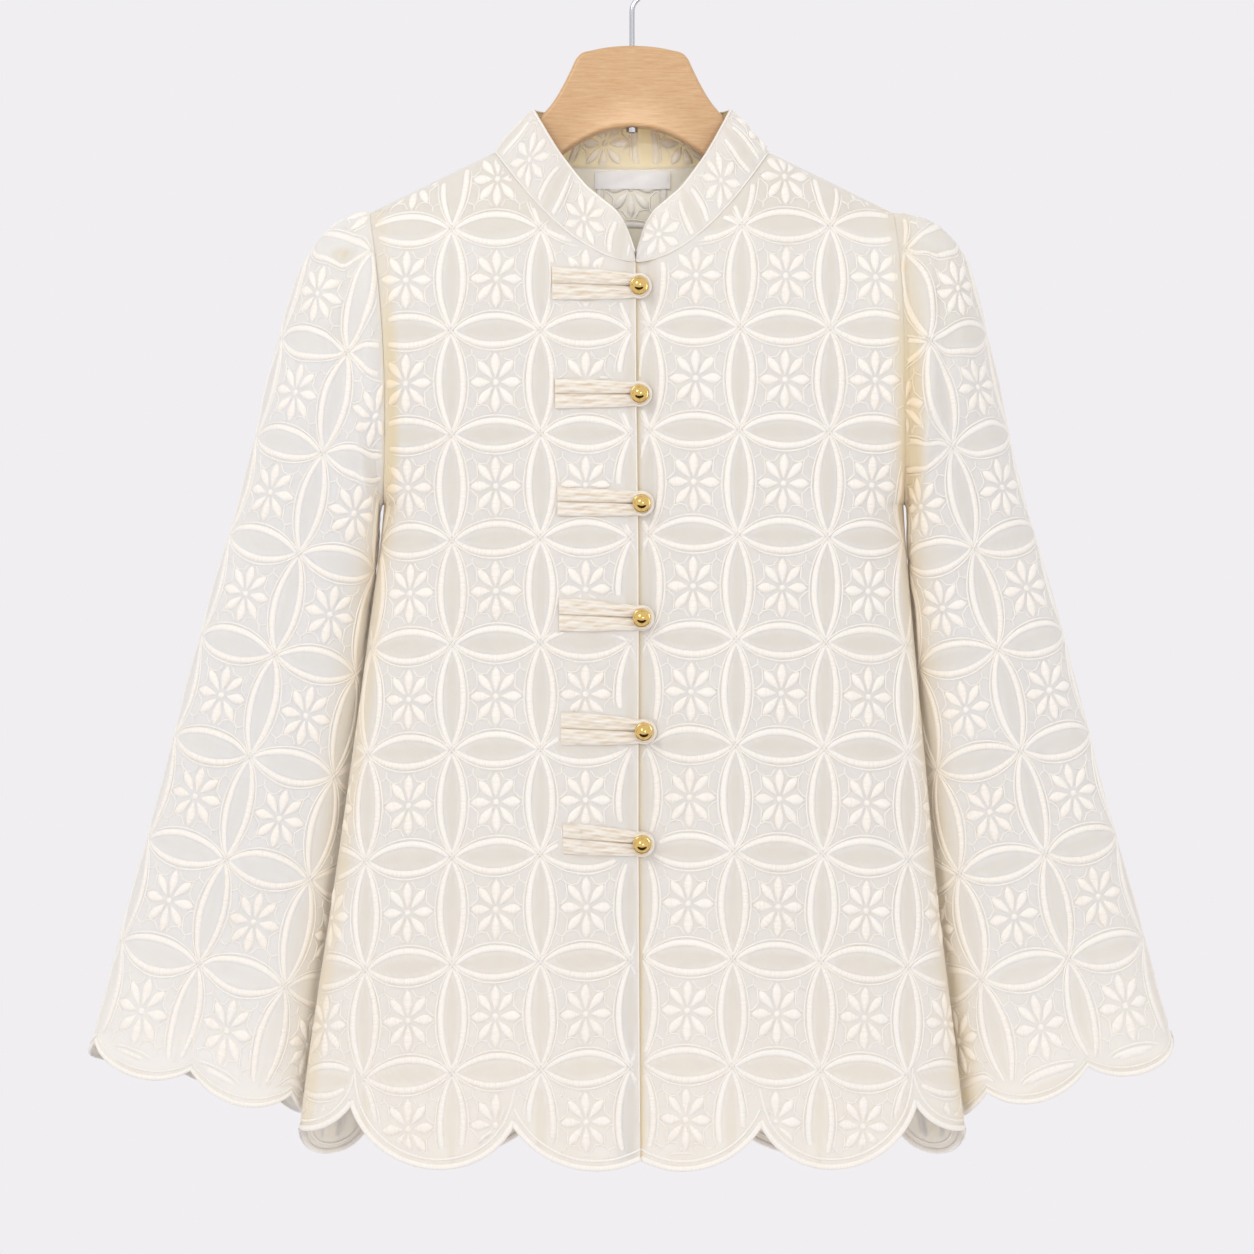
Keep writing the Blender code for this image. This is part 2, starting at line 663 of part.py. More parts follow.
def collar():
    """The stand collar: a band from the neckline up and inwards, its front ends rounded."""
    x = back_top()
    x = x[np.abs(x) < NECK_HALF - SEAM_GAP]
    drop = neck_drop(x, 1)
    back_foot = np.stack([x, panel_depth(x, drop, 1), -drop], axis=1)
    turn = x / NECK_HALF
    side_rise = read(COLLAR, COLLAR_COLUMNS, "rise", 1.0)
    side_inward = read(COLLAR, COLLAR_COLUMNS, "inward", 1.0)
    back_lift = (
        -side_inward * turn,
        -COLLAR_BACK_LEAN * (1 - turn**2),
        COLLAR_BACK_RISE + (side_rise - COLLAR_BACK_RISE) * turn**2,
    )
    left_foot, left_lift = collar_side(-1)
    right_foot, right_lift = collar_side(1)
    foot = np.concatenate([left_foot, back_foot, right_foot[::-1]])
    lift = np.concatenate([left_lift, np.stack(back_lift, axis=1), right_lift[::-1]])
    up = lift / np.linalg.norm(lift, axis=1, keepdims=True)
    height = np.linspace(1, 0, COLLAR_ROWS)[:, None, None]
    out = foot - foot.mean(axis=0)
    out[:, 2] = 0
    out /= np.linalg.norm(out, axis=1, keepdims=True)
    bow = COLLAR_BOW * np.sin(math.pi * height)
    outer = foot + up * COLLAR_GAP + (lift - up * COLLAR_GAP) * height + out * bow
    way = normals(outer, False)
    if np.sum(way * out) < 0:
        way = -way
    way[-1, :, 2] = 0
    way[-1] /= np.linalg.norm(way[-1], axis=1, keepdims=True)
    return wall_object("collar", outer, outer - way * CLOTH, "embroidered_cloth")


def surface_y(x, drop):
    """Y of the left front's outer face, carried on past its edge."""
    return -panel_depth(x, drop, -1)


def loop(number, row):
    """A folded strap that runs to its button, goes round it and comes back.

    The strap is a strip between an inner edge (slit, then eye) and an outer edge (side, then
    round the eye), crowned across and flat on the front.
    """
    drop, x, far_x, far_drop, height = row
    bend = np.radians(np.linspace(EYE_TURN, -EYE_TURN, EYE_STEPS))
    eye_x = EYE_RADIUS * np.cos(bend)
    eye_up = EYE_RADIUS * np.sin(bend)
    rim_x = EYE_OUTER * np.cos(bend)
    rim_up = EYE_OUTER * np.sin(bend)
    run = np.linspace(0, 1, LOOP_STEPS + 1)[:-1]
    leg_x = (far_x - x) * (1 - run) + rim_x[0] * run
    slit_x = (far_x - x) * (1 - run) + eye_x[0] * SLIT_END * run
    leg_up = height / 2 + (rim_up[0] + SLIT_HALF - height / 2) * run**2
    slit_up = SLIT_HALF + SLIT_FLARE * run**6
    inner_x = np.concatenate([slit_x, eye_x, slit_x[::-1]])
    inner_up = np.concatenate([slit_up, eye_up, -slit_up[::-1]])
    outer_x = np.concatenate([leg_x, rim_x, leg_x[::-1]])
    outer_up = np.concatenate([leg_up, rim_up, -leg_up[::-1]])
    across = np.linspace(0, 1, 4)
    sx = x + inner_x[:, None] + (outer_x - inner_x)[:, None] * across
    up = inner_up[:, None] + (outer_up - inner_up)[:, None] * across
    slant = np.clip((x - sx) / (x - far_x), 0, 1)
    sdrop = drop + (far_drop - drop) * slant - up
    base = surface_y(np.minimum(sx, x), sdrop) - LAY_GAP
    swell = LOOP_EDGE_SHARE + (1 - LOOP_EDGE_SHARE) * np.sin(math.pi * across)
    crown = LOOP_THICKNESS * swell * np.ones_like(sx)
    low = np.stack([sx, base, -sdrop], axis=2)
    high = np.stack([sx, base - crown, -sdrop], axis=2)
    return wall_object(f"loop_{number}", high, low, "embroidered_cloth")


def turned_object(name, profile, centre, finish, steps):
    """A closed turned solid about a line along -Y through centre; profile is (radius, out)."""
    angle = np.linspace(0, 2 * math.pi, steps, endpoint=False)
    points = [(centre[0], centre[1] - profile[0][1], centre[2])]
    for radius, out in profile[1:-1]:
        ring = [
            (centre[0] + radius * math.cos(a), centre[1] - out, centre[2] + radius * math.sin(a))
            for a in angle
        ]
        points += ring
    points.append((centre[0], centre[1] - profile[-1][1], centre[2]))
    rings = len(profile) - 2
    last = len(points) - 1
    faces = []
    for j in range(steps):
        k = (j + 1) % steps
        faces.append((0, 1 + k, 1 + j))
        faces.append((last, last - steps + j, last - steps + k))
        for i in range(rings - 1):
            a, b = 1 + i * steps, 1 + (i + 1) * steps
            faces.append((a + j, a + k, b + k, b + j))
    return mesh_object(name, points, faces, finish)


def button(number, row):
    """A ball on a small collar ring and a shank, standing on the right front."""
    drop, x = row[0], row[1]
    cloth_y = float(surface_y(x, drop)) + UNDERLAP_DEPTH - LAY_GAP
    reach = UNDERLAP_DEPTH + LOOP_THICKNESS + LAY_GAP
    ball_middle = reach + RIM_HEIGHT + BALL_RADIUS * BALL_SUNK
    profile = [
        (0.0, 0.0),
        (SHANK_RADIUS * 1.2, 0.0),
        (SHANK_RADIUS, RIM_HEIGHT / 2),
        (SHANK_RADIUS, reach),
        (RIM_RADIUS * 0.86, reach + RIM_HEIGHT * 0.25),
        (RIM_RADIUS, reach + RIM_HEIGHT * 0.75),
        (RIM_RADIUS * 0.90, reach + RIM_HEIGHT * 1.33),
    ]
    for degrees in (-28, -8, 12, 32, 52, 72):
        a = math.radians(degrees)
        profile.append((BALL_RADIUS * math.cos(a), ball_middle + BALL_RADIUS * math.sin(a)))
    profile.append((0.0, ball_middle + BALL_RADIUS))
    return turned_object(f"button_{number}", profile, (x, cloth_y, -drop), "gold", BUTTON_SIDES)


def neck_label():
    """The label, lying inside the back just under the collar's seam."""
    x = 0.0004 + np.linspace(-0.5, 0.5, 9) * LABEL_WIDTH
    drop = LABEL_TOP_DROP + np.array([[0.0], [0.5], [1.0]]) * LABEL_HEIGHT
    x = np.broadcast_to(x, (3, 9))
    drop = np.broadcast_to(drop, (3, 9))
    y = panel_depth(x, drop, 1)
    grid = np.stack([x, y, -drop], axis=2)
    way = normals(grid, False)
    if way[:, :, 1].sum() < 0:
        way = -way
    near = grid - way * (CLOTH + LABEL_GAP)
    far = near - way * LABEL_THICKNESS
    return wall_object("neck_label", near, far, "label_satin")


def cubic_line(table, count):
    """A smooth line of count points through a table of (x, drop) rows, by distance along it."""
    rows = np.asarray(table)
    along = np.concatenate([[0], np.cumsum(np.linalg.norm(np.diff(rows, axis=0), axis=1))])
    keyed = np.column_stack([along, rows])
    at = np.linspace(0, along[-1], count)
    names = ("along", "x", "drop")
    return np.stack([read(keyed, names, "x", at), read(keyed, names, "drop", at)], axis=1)


def hanger_wood():
    """The wooden hanger: its outline extruded, edges rounded, bored for the hook's rod."""
    top = cubic_line(WOOD_TOP, WOOD_TOP_POINTS)
    under = cubic_line(WOOD_UNDER, WOOD_UNDER_POINTS)
    right = np.concatenate([top, under[::-1][1:]])
    left = right[1:-1][::-1] * (-1, 1)
    outline = np.concatenate([right, left])
    points = [(x, -WOOD_HALF_THICKNESS, -d) for x, d in outline]
    points += [(x, WOOD_HALF_THICKNESS, -d) for x, d in outline]
    count = len(outline)
    faces = [tuple(range(count)), tuple(range(2 * count - 1, count - 1, -1))]
    for j in range(count):
        k = (j + 1) % count
        faces.append((k, j, j + count, k + count))
    wood = mesh_object("hanger_wood", points, faces, "beech")
    rounding = wood.modifiers.new("rounded_edges", "BEVEL")
    rounding.width = WOOD_EDGE_ROUND
    rounding.segments = 2
    rounding.limit_method = "ANGLE"
    rounding.angle_limit = math.radians(60)
    bore = upright_prism("bore_cutter", BORE_RADIUS, *BORE_ENDS, "steel", 12)
    bore.hide_render = True
    bore.display_type = "WIRE"
    cut = wood.modifiers.new("bore", "BOOLEAN")
    cut.operation = "DIFFERENCE"
    cut.object = bore
    return wood


def upright_prism(name, radius, top, bottom, finish, sides):
    """A closed upright prism about the stem, between two drops."""
    angle = np.linspace(0, 2 * math.pi, sides, endpoint=False)
    points = [(radius * math.cos(a), radius * math.sin(a), -top) for a in angle]
    points += [(radius * math.cos(a), radius * math.sin(a), -bottom) for a in angle]
    faces = [tuple(range(sides)), tuple(range(2 * sides - 1, sides - 1, -1))]
    for j in range(sides):
        k = (j + 1) % sides
        faces.append((k, j, j + sides, k + sides))
    return mesh_object(name, points, faces, finish)


def hook_line():
    """The hook's centreline: rod up, a bend to the right, then round over the rail."""
    centre_drop = HOOK_RADIUS - WIRE_RADIUS
    bend_start = -HOOK_BEND_DROP - HOOK_BEND
    stem = [(0.0, -drop) for drop in HOOK_STEM_DROPS] + [(0.0, bend_start)]
    bend = []
    fillet = HOOK_BEND / math.tan(math.radians(22.5))
    for degrees in (15.0, 30.0):
        a = math.radians(degrees)
        bend.append((fillet * (1 - math.cos(a)), bend_start + fillet * math.sin(a)))
    ring = []
    for degrees in np.arange(HOOK_START_DEGREES, HOOK_OPEN_DEGREES + 0.1, HOOK_STEP_DEGREES):
        a = math.radians(degrees)
        ring.append((HOOK_RADIUS * math.cos(a), -centre_drop + HOOK_RADIUS * math.sin(a)))
    return np.array(stem + bend + ring)


def hanger_hook():
    """The steel wire: a tube along its flat centreline, with rounded ends."""
    line = hook_line()
    way = np.gradient(line, axis=0)
    way /= np.linalg.norm(way, axis=1, keepdims=True)
    side_way = np.column_stack([way[:, 1], -way[:, 0]])
    start = line[0] - way[0] * WIRE_RADIUS / 2
    end = line[-1] + way[-1] * WIRE_RADIUS / 2
    line = np.concatenate([[start], line, [end]])
    side_way = np.concatenate([side_way[:1], side_way, side_way[-1:]])
    radius = np.full(len(line), WIRE_RADIUS)
    radius[[0, -1]] *= WIRE_END_SHARE
    sides = WIRE_SIDES
    angle = np.linspace(0, 2 * math.pi, sides, endpoint=False)
    points = []
    for (px, pz), (sx, sz), r in zip(line, side_way, radius):
        for a in angle:
            out = r * math.cos(a)
            points.append((px + sx * out, r * math.sin(a), pz + sz * out))
    faces = [tuple(range(sides)), tuple(range(len(points) - 1, len(points) - sides - 1, -1))]
    for i in range(len(line) - 1):
        for j in range(sides):
            k = (j + 1) % sides
            a, b = i * sides, (i + 1) * sides
            faces.append((a + k, a + j, b + j, b + k))
    return mesh_object("hanger_hook", points, faces, "steel")


def hanger_nut():
    """The hexagon nut that holds the rod under the crown, bored for the rod."""
    outer = [
        (NUT_RADIUS * math.cos(a), NUT_RADIUS * math.sin(a))
        for a in np.linspace(0, 2 * math.pi, NUT_SIDES * 2, endpoint=False)
    ]
    inner = [(x * BORE_RADIUS / NUT_RADIUS, y * BORE_RADIUS / NUT_RADIUS) for x, y in outer]
    top, bottom = -NUT_TOP_DROP, -NUT_TOP_DROP - NUT_HEIGHT
    low_out = [(x, y, bottom) for x, y in outer]
    top_out = [(x, y, top) for x, y in outer]
    low_in = [(x, y, bottom) for x, y in inner]
    top_in = [(x, y, top) for x, y in inner]
    grid = np.array([top_out, low_out])
    hole = np.array([top_in, low_in])
    return wall_object("hanger_nut", grid, hole, "steel", True)


def main():
    """Builds every piece."""
    clear_scene()
    for side in (-1, 1):
        front(side)
        sleeve(side)
    back()
    collar()
    neck_label()
    for number, row in enumerate(BUTTONS, 1):
        loop(number, row)
        button(number, row)
    hanger_wood()
    hanger_hook()
    hanger_nut()


main()
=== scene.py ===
"""Looks of a women's blouse of sheer embroidered cloth on a shaped wooden hanger.

Metres, +Z up, the front faces -Y. "drop" is the distance below the hook's inner crown, which is
the origin. The cloth pieces are thin shells on the same surfaces as their solids, and the
embroidery is raised stitching laid on them: one repeat of overlapping circles and eight-petalled
flowers is worked out flat, set on every cell of a lattice and carried onto the cloth.
"""

import logging
from collections.abc import Callable, Iterable, Sequence
from dataclasses import dataclass, field
from enum import Enum
from math import atan, ceil, cos, floor, hypot, pi, radians, sin, tan

import bpy
import numpy as np
from bpy.types import ID, Light, Material, Mesh, Node, NodeSocket, Object
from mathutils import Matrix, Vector


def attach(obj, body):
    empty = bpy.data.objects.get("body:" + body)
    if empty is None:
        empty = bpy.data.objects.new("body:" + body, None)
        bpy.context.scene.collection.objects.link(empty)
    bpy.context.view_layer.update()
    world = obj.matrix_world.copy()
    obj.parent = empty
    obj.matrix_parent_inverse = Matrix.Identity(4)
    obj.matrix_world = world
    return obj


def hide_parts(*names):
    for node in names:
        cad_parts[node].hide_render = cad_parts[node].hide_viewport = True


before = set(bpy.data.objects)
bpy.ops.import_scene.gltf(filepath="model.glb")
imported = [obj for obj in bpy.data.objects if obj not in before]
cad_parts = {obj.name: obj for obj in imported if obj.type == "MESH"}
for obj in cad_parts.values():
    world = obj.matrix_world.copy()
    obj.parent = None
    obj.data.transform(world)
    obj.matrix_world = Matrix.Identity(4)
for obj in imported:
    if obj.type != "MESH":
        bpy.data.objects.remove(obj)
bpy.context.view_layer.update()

Array = np.ndarray
Colour = tuple[float, float, float]
Place = tuple[float, float, float]
Pair = tuple[float, float]
Spot = Callable[[Array, Array], Array]
Outwards = Callable[[Array, Array], Array]
Raise = Callable[[Array, Array, Array], Array]
LOG = logging.getLogger("blouse")
BODY = "root"


class Side(Enum):
    """A side of the blouse as the viewer sees it."""

    LEFT = -1
    RIGHT = 1


class Facing(Enum):
    """Which way a panel faces."""

    FRONT = -1
    BACK = 1


# Small helpers on arrays


def unit(vectors: Array) -> Array:
    """Vectors divided by their lengths."""
    return vectors / np.maximum(np.linalg.norm(vectors, axis=-1, keepdims=True), 1e-12)


def smooth_step(low: float, high: float, at: Array) -> Array:
    """Nought below low, one above high, and 3t^2 - 2t^3 between."""
    t = np.clip((at - low) / (high - low), 0, 1)
    return t * t * (3 - 2 * t)


def ripple(a: Array, b: Array, seed: float) -> Array:
    """An uneven smooth field of about -1 to 1: four sines along different lines, averaged.

    Args:
        a: first coordinate, in waves.
        b: second coordinate, in waves.
        seed: shifts the four sines.

    Returns:
        The field at each place.
    """
    waves = (
        np.sin(5.1 * a + 1.7 * b + seed)
        + np.sin(-2.3 * a + 4.6 * b + 2.1 * seed)
        + np.sin(7.9 * a - 3.2 * b + 3.3 * seed)
        + np.sin(3.4 * a + 8.3 * b + 4.7 * seed)
    )
    return waves / 2.6


def arc_height(share: Array, chord: Array, sag: Array, inset: float = 0.0) -> Array:
    """Height of a circular arc over its chord.

    The circle through the chord's ends and a point sag above its middle has the radius
    (chord^2 / 4 + sag^2) / (2 sag); an inset makes that radius smaller about the same centre.
    """
    radius = (chord**2 / 4 + sag**2) / (2 * sag)
    away = (share - 0.5) * chord
    inner = np.clip((radius - inset) ** 2 - away**2, 0, None)
    return np.sqrt(inner) - (radius - sag)


def along_line(points: Array) -> Array:
    """Distance from the first of a line's points to each of them, along the line."""
    steps = np.linalg.norm(np.diff(points, axis=0), axis=1)
    return np.concatenate([[0.0], np.cumsum(steps)])


def bilinear(table: Array, rows: Array, columns: Array, row: Array, column: Array) -> Array:
    """A table's value between its evenly spaced rows and columns, by bilinear weights."""
    a = np.clip((row - rows[0]) / (rows[1] - rows[0]), 0, len(rows) - 1.000001)
    b = np.clip((column - columns[0]) / (columns[1] - columns[0]), 0, len(columns) - 1.000001)
    i, j = a.astype(int), b.astype(int)
    s, t = a - i, b - j
    upper = table[i, j] * (1 - t) + table[i, j + 1] * t
    lower = table[i + 1, j] * (1 - t) + table[i + 1, j + 1] * t
    return upper * (1 - s) + lower * s


def linear(colour: Colour) -> tuple[float, ...]:
    """A display colour of 0 to 255 as linear light with full alpha."""
    c = np.asarray(colour) / 255
    light = np.where(c <= 0.04045, c / 12.92, ((c + 0.055) / 1.055) ** 2.4)
    return (*map(float, light), 1.0)


@dataclass(frozen=True)
class Table:
    """Rows of named columns, read as smooth functions of the first column."""

    columns: tuple[str, ...]
    rows: tuple[tuple[float, ...], ...]

    def read(self, name: str, at: Array) -> Array:
        """A column by the cubic through its rows with centred slopes, level past the ends.

        Args:
            name: the column that is wanted.
            at: values of the first column.

        Returns:
            The column's value at each of them.
        """
        rows = np.asarray(self.rows, dtype=float)
        knots, values = rows[:, 0], rows[:, self.columns.index(name)]
        slopes = np.gradient(values, knots)
        at = np.clip(np.asarray(at, dtype=float), knots[0], knots[-1])
        i = np.clip(np.searchsorted(knots, at, side="right") - 1, 0, len(knots) - 2)
        step = knots[i + 1] - knots[i]
        t = (at - knots[i]) / step
        return (
            values[i] * (1 + 2 * t) * (1 - t) ** 2
            + slopes[i] * step * t * (1 - t) ** 2
            + values[i + 1] * t * t * (3 - 2 * t)
            - slopes[i + 1] * step * t * t * (1 - t)
        )


# Meshes


@dataclass
class Patch:
    """Points with their faces of four corners, texture places and tints."""

    points: Array
    quads: Array
    uv: Array
    tint: Array

    @staticmethod
    def join(patches: Sequence["Patch"]) -> "Patch":
        """Several patches as one, with their corners renumbered."""
        starts = np.cumsum([0] + [len(p.points) for p in patches[:-1]])
        return Patch(
            np.concatenate([p.points for p in patches]),
            np.concatenate([p.quads + s for p, s in zip(patches, starts)]),
            np.concatenate([p.uv for p in patches]),
            np.concatenate([p.tint for p in patches]),
        )


def grid_quads(rows: int, columns: int, round_again: bool = False) -> Array:
    """Faces of a grid of points, row by row, whose last column may meet its first."""
    i = np.arange(rows - 1)[:, None] * columns
    j = np.arange(columns if round_again else columns - 1)[None]
    k = (j + 1) % columns
    return np.stack([i + j, i + columns + j, i + columns + k, i + k], axis=-1).reshape(-1, 4)


def shell_quads(rows: int, columns: int, round_again: bool = False) -> Array:
    """Faces of a wall between two grids of points, with its rims closed.

    The second grid's faces are turned round, and each rim joins an edge to its twin.
    """
    face = grid_quads(rows, columns, round_again)
    behind = rows * columns
    number = np.arange(behind).reshape(rows, columns)
    ring = np.concatenate([number, number[:, :1]], axis=1) if round_again else number
    edges = [(ring[0, :-1], ring[0, 1:]), (ring[-1, 1:], ring[-1, :-1])]
    if not round_again:
        edges += [(number[1:, 0], number[:-1, 0]), (number[:-1, -1], number[1:, -1])]
    rims = [np.stack([a, b, b + behind, a + behind], axis=1) for a, b in edges]
    return np.concatenate([face, face[:, ::-1] + behind, *rims])


def linked(name: str, data: ID) -> Object:
    """A new object in the scene, at the origin."""
    made = bpy.data.objects.new(name, data)
    bpy.context.scene.collection.objects.link(made)
    return made


def write_mesh(name: str, patch: Patch, finish: Material, sharp: float = 60.0) -> Object:
    """Puts a patch into a smooth-shaded mesh object.

    Args:
        name: of the piece.
        patch: its points and faces.
        finish: its material.
        sharp: edges that turn by more degrees than this stay sharp.

    Returns:
        The object, at the origin.
    """
    mesh = bpy.data.meshes.new(name)
    count = len(patch.quads)
    mesh.vertices.add(len(patch.points))
    mesh.vertices.foreach_set("co", patch.points.astype(np.float32).ravel())
    mesh.loops.add(count * 4)
    mesh.loops.foreach_set("vertex_index", patch.quads.astype(np.int32).ravel())
    mesh.polygons.add(count)
    mesh.polygons.foreach_set("loop_start", np.arange(count, dtype=np.int32) * 4)
    mesh.update(calc_edges=True)
    corners = patch.quads.ravel()
    uv_map = mesh.uv_layers.new(name="Stitch")
    uv_map.data.foreach_set("uv", patch.uv[corners].astype(np.float32).ravel())
    tint = mesh.color_attributes.new("tint", "FLOAT_COLOR", "POINT")
    tint.data.foreach_set("color", patch.tint.astype(np.float32).ravel())
    return smoothed(name, mesh, finish, sharp)


def smoothed(name: str, mesh: Mesh, finish: Material, sharp: float) -> Object:
    """An object of a mesh that is shaded smooth up to an angle, in degrees."""
    mesh.shade_smooth()
    mesh.set_sharp_from_angle(angle=radians(sharp))
    mesh.materials.append(finish)
    return linked(name, mesh)


def tints(red: Array, green: Array | float = 0.0, blue: Array | float = 0.0) -> Array:
    """The finishes' three marks at each point, with full alpha."""
    return np.stack(np.broadcast_arrays(red, green, blue, 1.0), axis=-1)


def strip(a: Array, b: Array, height: Array, u: Array, v: Array, shade: float) -> Patch:
    """A flat grid of points as a patch, which carry() lays on a surface later.

    Args:
        a, b: surface parameters, rows by columns.
        height: height above the surface.
        u, v: texture places.
        shade: its red tint.

    Returns:
        The patch; what is the same along a row or column may be given once.
    """
    a, b, height, u, v = np.broadcast_arrays(a, b, height, u, v)
    points = np.stack([a, b, height], axis=2).reshape(-1, 3)
    uv = np.stack([u, v], axis=2).reshape(-1, 2)
    return Patch(points, grid_quads(*a.shape), uv, tints(np.full(a.size, shade)))


def arch(width: Array, fullness: float = 2.0) -> Array:
    """Height of a full arch at places of -1 to 1 across it."""
    return np.sqrt(1 - np.abs(width) ** fullness)


def signed_volume(points: Array, quads: Array) -> float:
    """Volume inside a closed mesh, negative when its faces point inwards."""
    a, b, c, d = (points[quads[:, k]] for k in range(4))
    return float(np.einsum("ij,ij->", a, np.cross(b, c)) + np.einsum("ij,ij->", a, np.cross(c, d)))


def shell(
    outer: Array,
    inner: Array,
    uv: Array,
    tint: Array,
    round_again: bool = False,
    inner_painted_shade: float = 0.06,
    inner_painted_light: float = 0.0,
) -> Patch:
    """A closed wall between two grids of points, facing outwards.

    Args:
        outer: grid of points, rows by columns by three.
        inner: the grid behind it.
        uv: texture places of the grid, in metres on the cloth.
        tint: tints of the grid.
        round_again: whether the last column meets the first one.
        inner_painted_shade: least painted warm shade in the inner face's tint.
        inner_painted_light: least painted light in it.

    Returns:
        The wall.
    """
    rows, columns = outer.shape[:2]
    points = np.concatenate([outer.reshape(-1, 3), inner.reshape(-1, 3)])
    quads = shell_quads(rows, columns, round_again)
    if signed_volume(points, quads) < 0:
        quads = quads[:, ::-1]
    flat_uv, flat_tint = uv.reshape(-1, 2), tint.reshape(-1, 4)
    # The inner face takes at least the given painted warm shade and painted light.
    behind = np.maximum(flat_tint, [0.0, inner_painted_shade, inner_painted_light, 1.0])
    return Patch(points, quads, np.tile(flat_uv, (2, 1)), np.concatenate([flat_tint, behind]))


def ride(piece: Object, nodes: Iterable[str] = ()) -> Object:
    """Lets a piece ride on the body and the nodes that it stands for."""
    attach(piece, BODY)
    if nodes:
        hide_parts(*nodes)
    LOG.info("%s: %d faces", piece.name, len(piece.data.polygons))
    return piece


# Finishes


class ShaderSketch:
    """A new material whose nodes are added one by one and joined by their sockets."""

    def __init__(self, name: str) -> None:
        """Makes the material with its Principled shader alone."""
        self.material = bpy.data.materials.new(name)
        self.material.use_nodes = True
        self.tree = self.material.node_tree
        self.shader = self.tree.nodes["Principled BSDF"]

    def add(self, kind: str, inputs: dict | None = None, **settings: object) -> Node:
        """Adds a node.

        Args:
            kind: the node's type.
            inputs: values, or sockets to join, by the input's name or number.
            settings: the node's own properties.

        Returns:
            The node.
        """
        node = self.tree.nodes.new(kind)
        for key, value in settings.items():
            setattr(node, key, value)
        for key, value in (inputs or {}).items():
            self.join(node.inputs[key], value)
        return node

    def join(self, socket: NodeSocket, value: object) -> None:
        """Links an input to a socket, or gives it a value."""
        if isinstance(value, NodeSocket):
            self.tree.links.new(value, socket)
        else:
            socket.default_value = value

    def dress(self, **inputs: object) -> None:
        """Sets the shader's inputs, named with _ for a space."""
        for key, value in inputs.items():
            self.join(self.shader.inputs[key.replace("_", " ")], value)

    def math(self, kind: str, *values: object) -> NodeSocket:
        """A Math node's output."""
        return self.add("ShaderNodeMath", dict(enumerate(values)), operation=kind).outputs[0]

    def mix(self, share: object, first: object, second: object) -> NodeSocket:
        """A blend of two colours."""
        node = self.add("ShaderNodeMix", {0: share, 6: first, 7: second}, data_type="RGBA")
        return node.outputs[2]

    def noise(self, vector: object, scale: float, detail: float = 2.0) -> NodeSocket:
        """A Noise texture's value."""
        inputs = {"Vector": vector, "Scale": scale, "Detail": detail}
        return self.add("ShaderNodeTexNoise", inputs).outputs["Fac"]

    def bump(self, height: object, depth: float, strength: float = 1.0) -> NodeSocket:
        """A bumped normal, depth in metres."""
        inputs = {"Height": height, "Distance": depth, "Strength": strength}
        return self.add("ShaderNodeBump", inputs).outputs[0]

    def uv(self) -> NodeSocket:
        """The piece's own texture places."""
        return self.add("ShaderNodeUVMap", uv_map="Stitch").outputs[0]

    def place(self) -> NodeSocket:
        """Object coordinates."""
        return self.add("ShaderNodeTexCoord").outputs["Object"]

    def tint(self) -> tuple[NodeSocket, ...]:
        """The three channels of the piece's tint."""
        source = self.add("ShaderNodeAttribute", attribute_name="tint").outputs["Color"]
        split = self.add("ShaderNodeSeparateColor", {0: source})
        return tuple(split.outputs)


@dataclass(frozen=True)
class ClothFinish:
    """The sheer ground cloth: a fine weave, beige where one sees through it, with painted warm shade
    in seams, grooves and hollows, and painted light on some pieces.
    """

    name: str = "sheer_cloth"
    ground: Colour = (243, 234, 218)
    window: Colour = (239, 229, 212)
    # Painted shade: the warm colour that stands in for shade in grooves at seams, inside the neck and
    # in hollows.
    seam: Colour = (241, 218, 179)
    lit: Colour = (249, 241, 228)
    # Painted light: the paler colour that stands in for more light falling on the cloth.
    pale: Colour = (255, 252, 242)
    weave: float = 0.0007

    def make(self) -> Material:
        """The material. Tint red marks windows between the bands, green painted warm shade, blue
        painted light that makes the cloth paler.
        """
        sketch = ShaderSketch(self.name)
        window, seam, pale = sketch.tint()
        uv = sketch.uv()
        blotch = sketch.noise(uv, 38.0, 3.0)
        base = sketch.mix(blotch, linear(self.ground), linear(self.lit))
        clouded = sketch.math("MULTIPLY", window, sketch.math("ADD", blotch, 0.45))
        base = sketch.mix(clouded, base, linear(self.window))
        # Painted light (tint blue), then painted warm shade (tint green), over the cloth's own
        # colour.
        base = sketch.mix(pale, base, linear(self.pale))
        base = sketch.mix(seam, base, linear(self.seam))
        split = sketch.add("ShaderNodeSeparateXYZ", {0: uv})
        turns = 2 * pi / self.weave
        warp = sketch.math("SINE", sketch.math("MULTIPLY", split.outputs[0], turns))
        weft = sketch.math("SINE", sketch.math("MULTIPLY", split.outputs[1], turns))
        weave = sketch.math("MULTIPLY", warp, weft)
        crinkle = sketch.noise(uv, 160.0, 4.0)
        height = sketch.math("ADD", sketch.math("MULTIPLY", weave, 0.12), crinkle)
        sketch.dress(
            Base_Color=base,
            Roughness=0.72,
            Normal=sketch.bump(height, 0.0007, 0.55),
            Sheen_Weight=0.15,
            Sheen_Roughness=0.5,
            Subsurface_Weight=0.55,
            Subsurface_Radius=(1.0, 0.85, 0.6),
            Subsurface_Scale=0.004,
        )
        return sketch.material


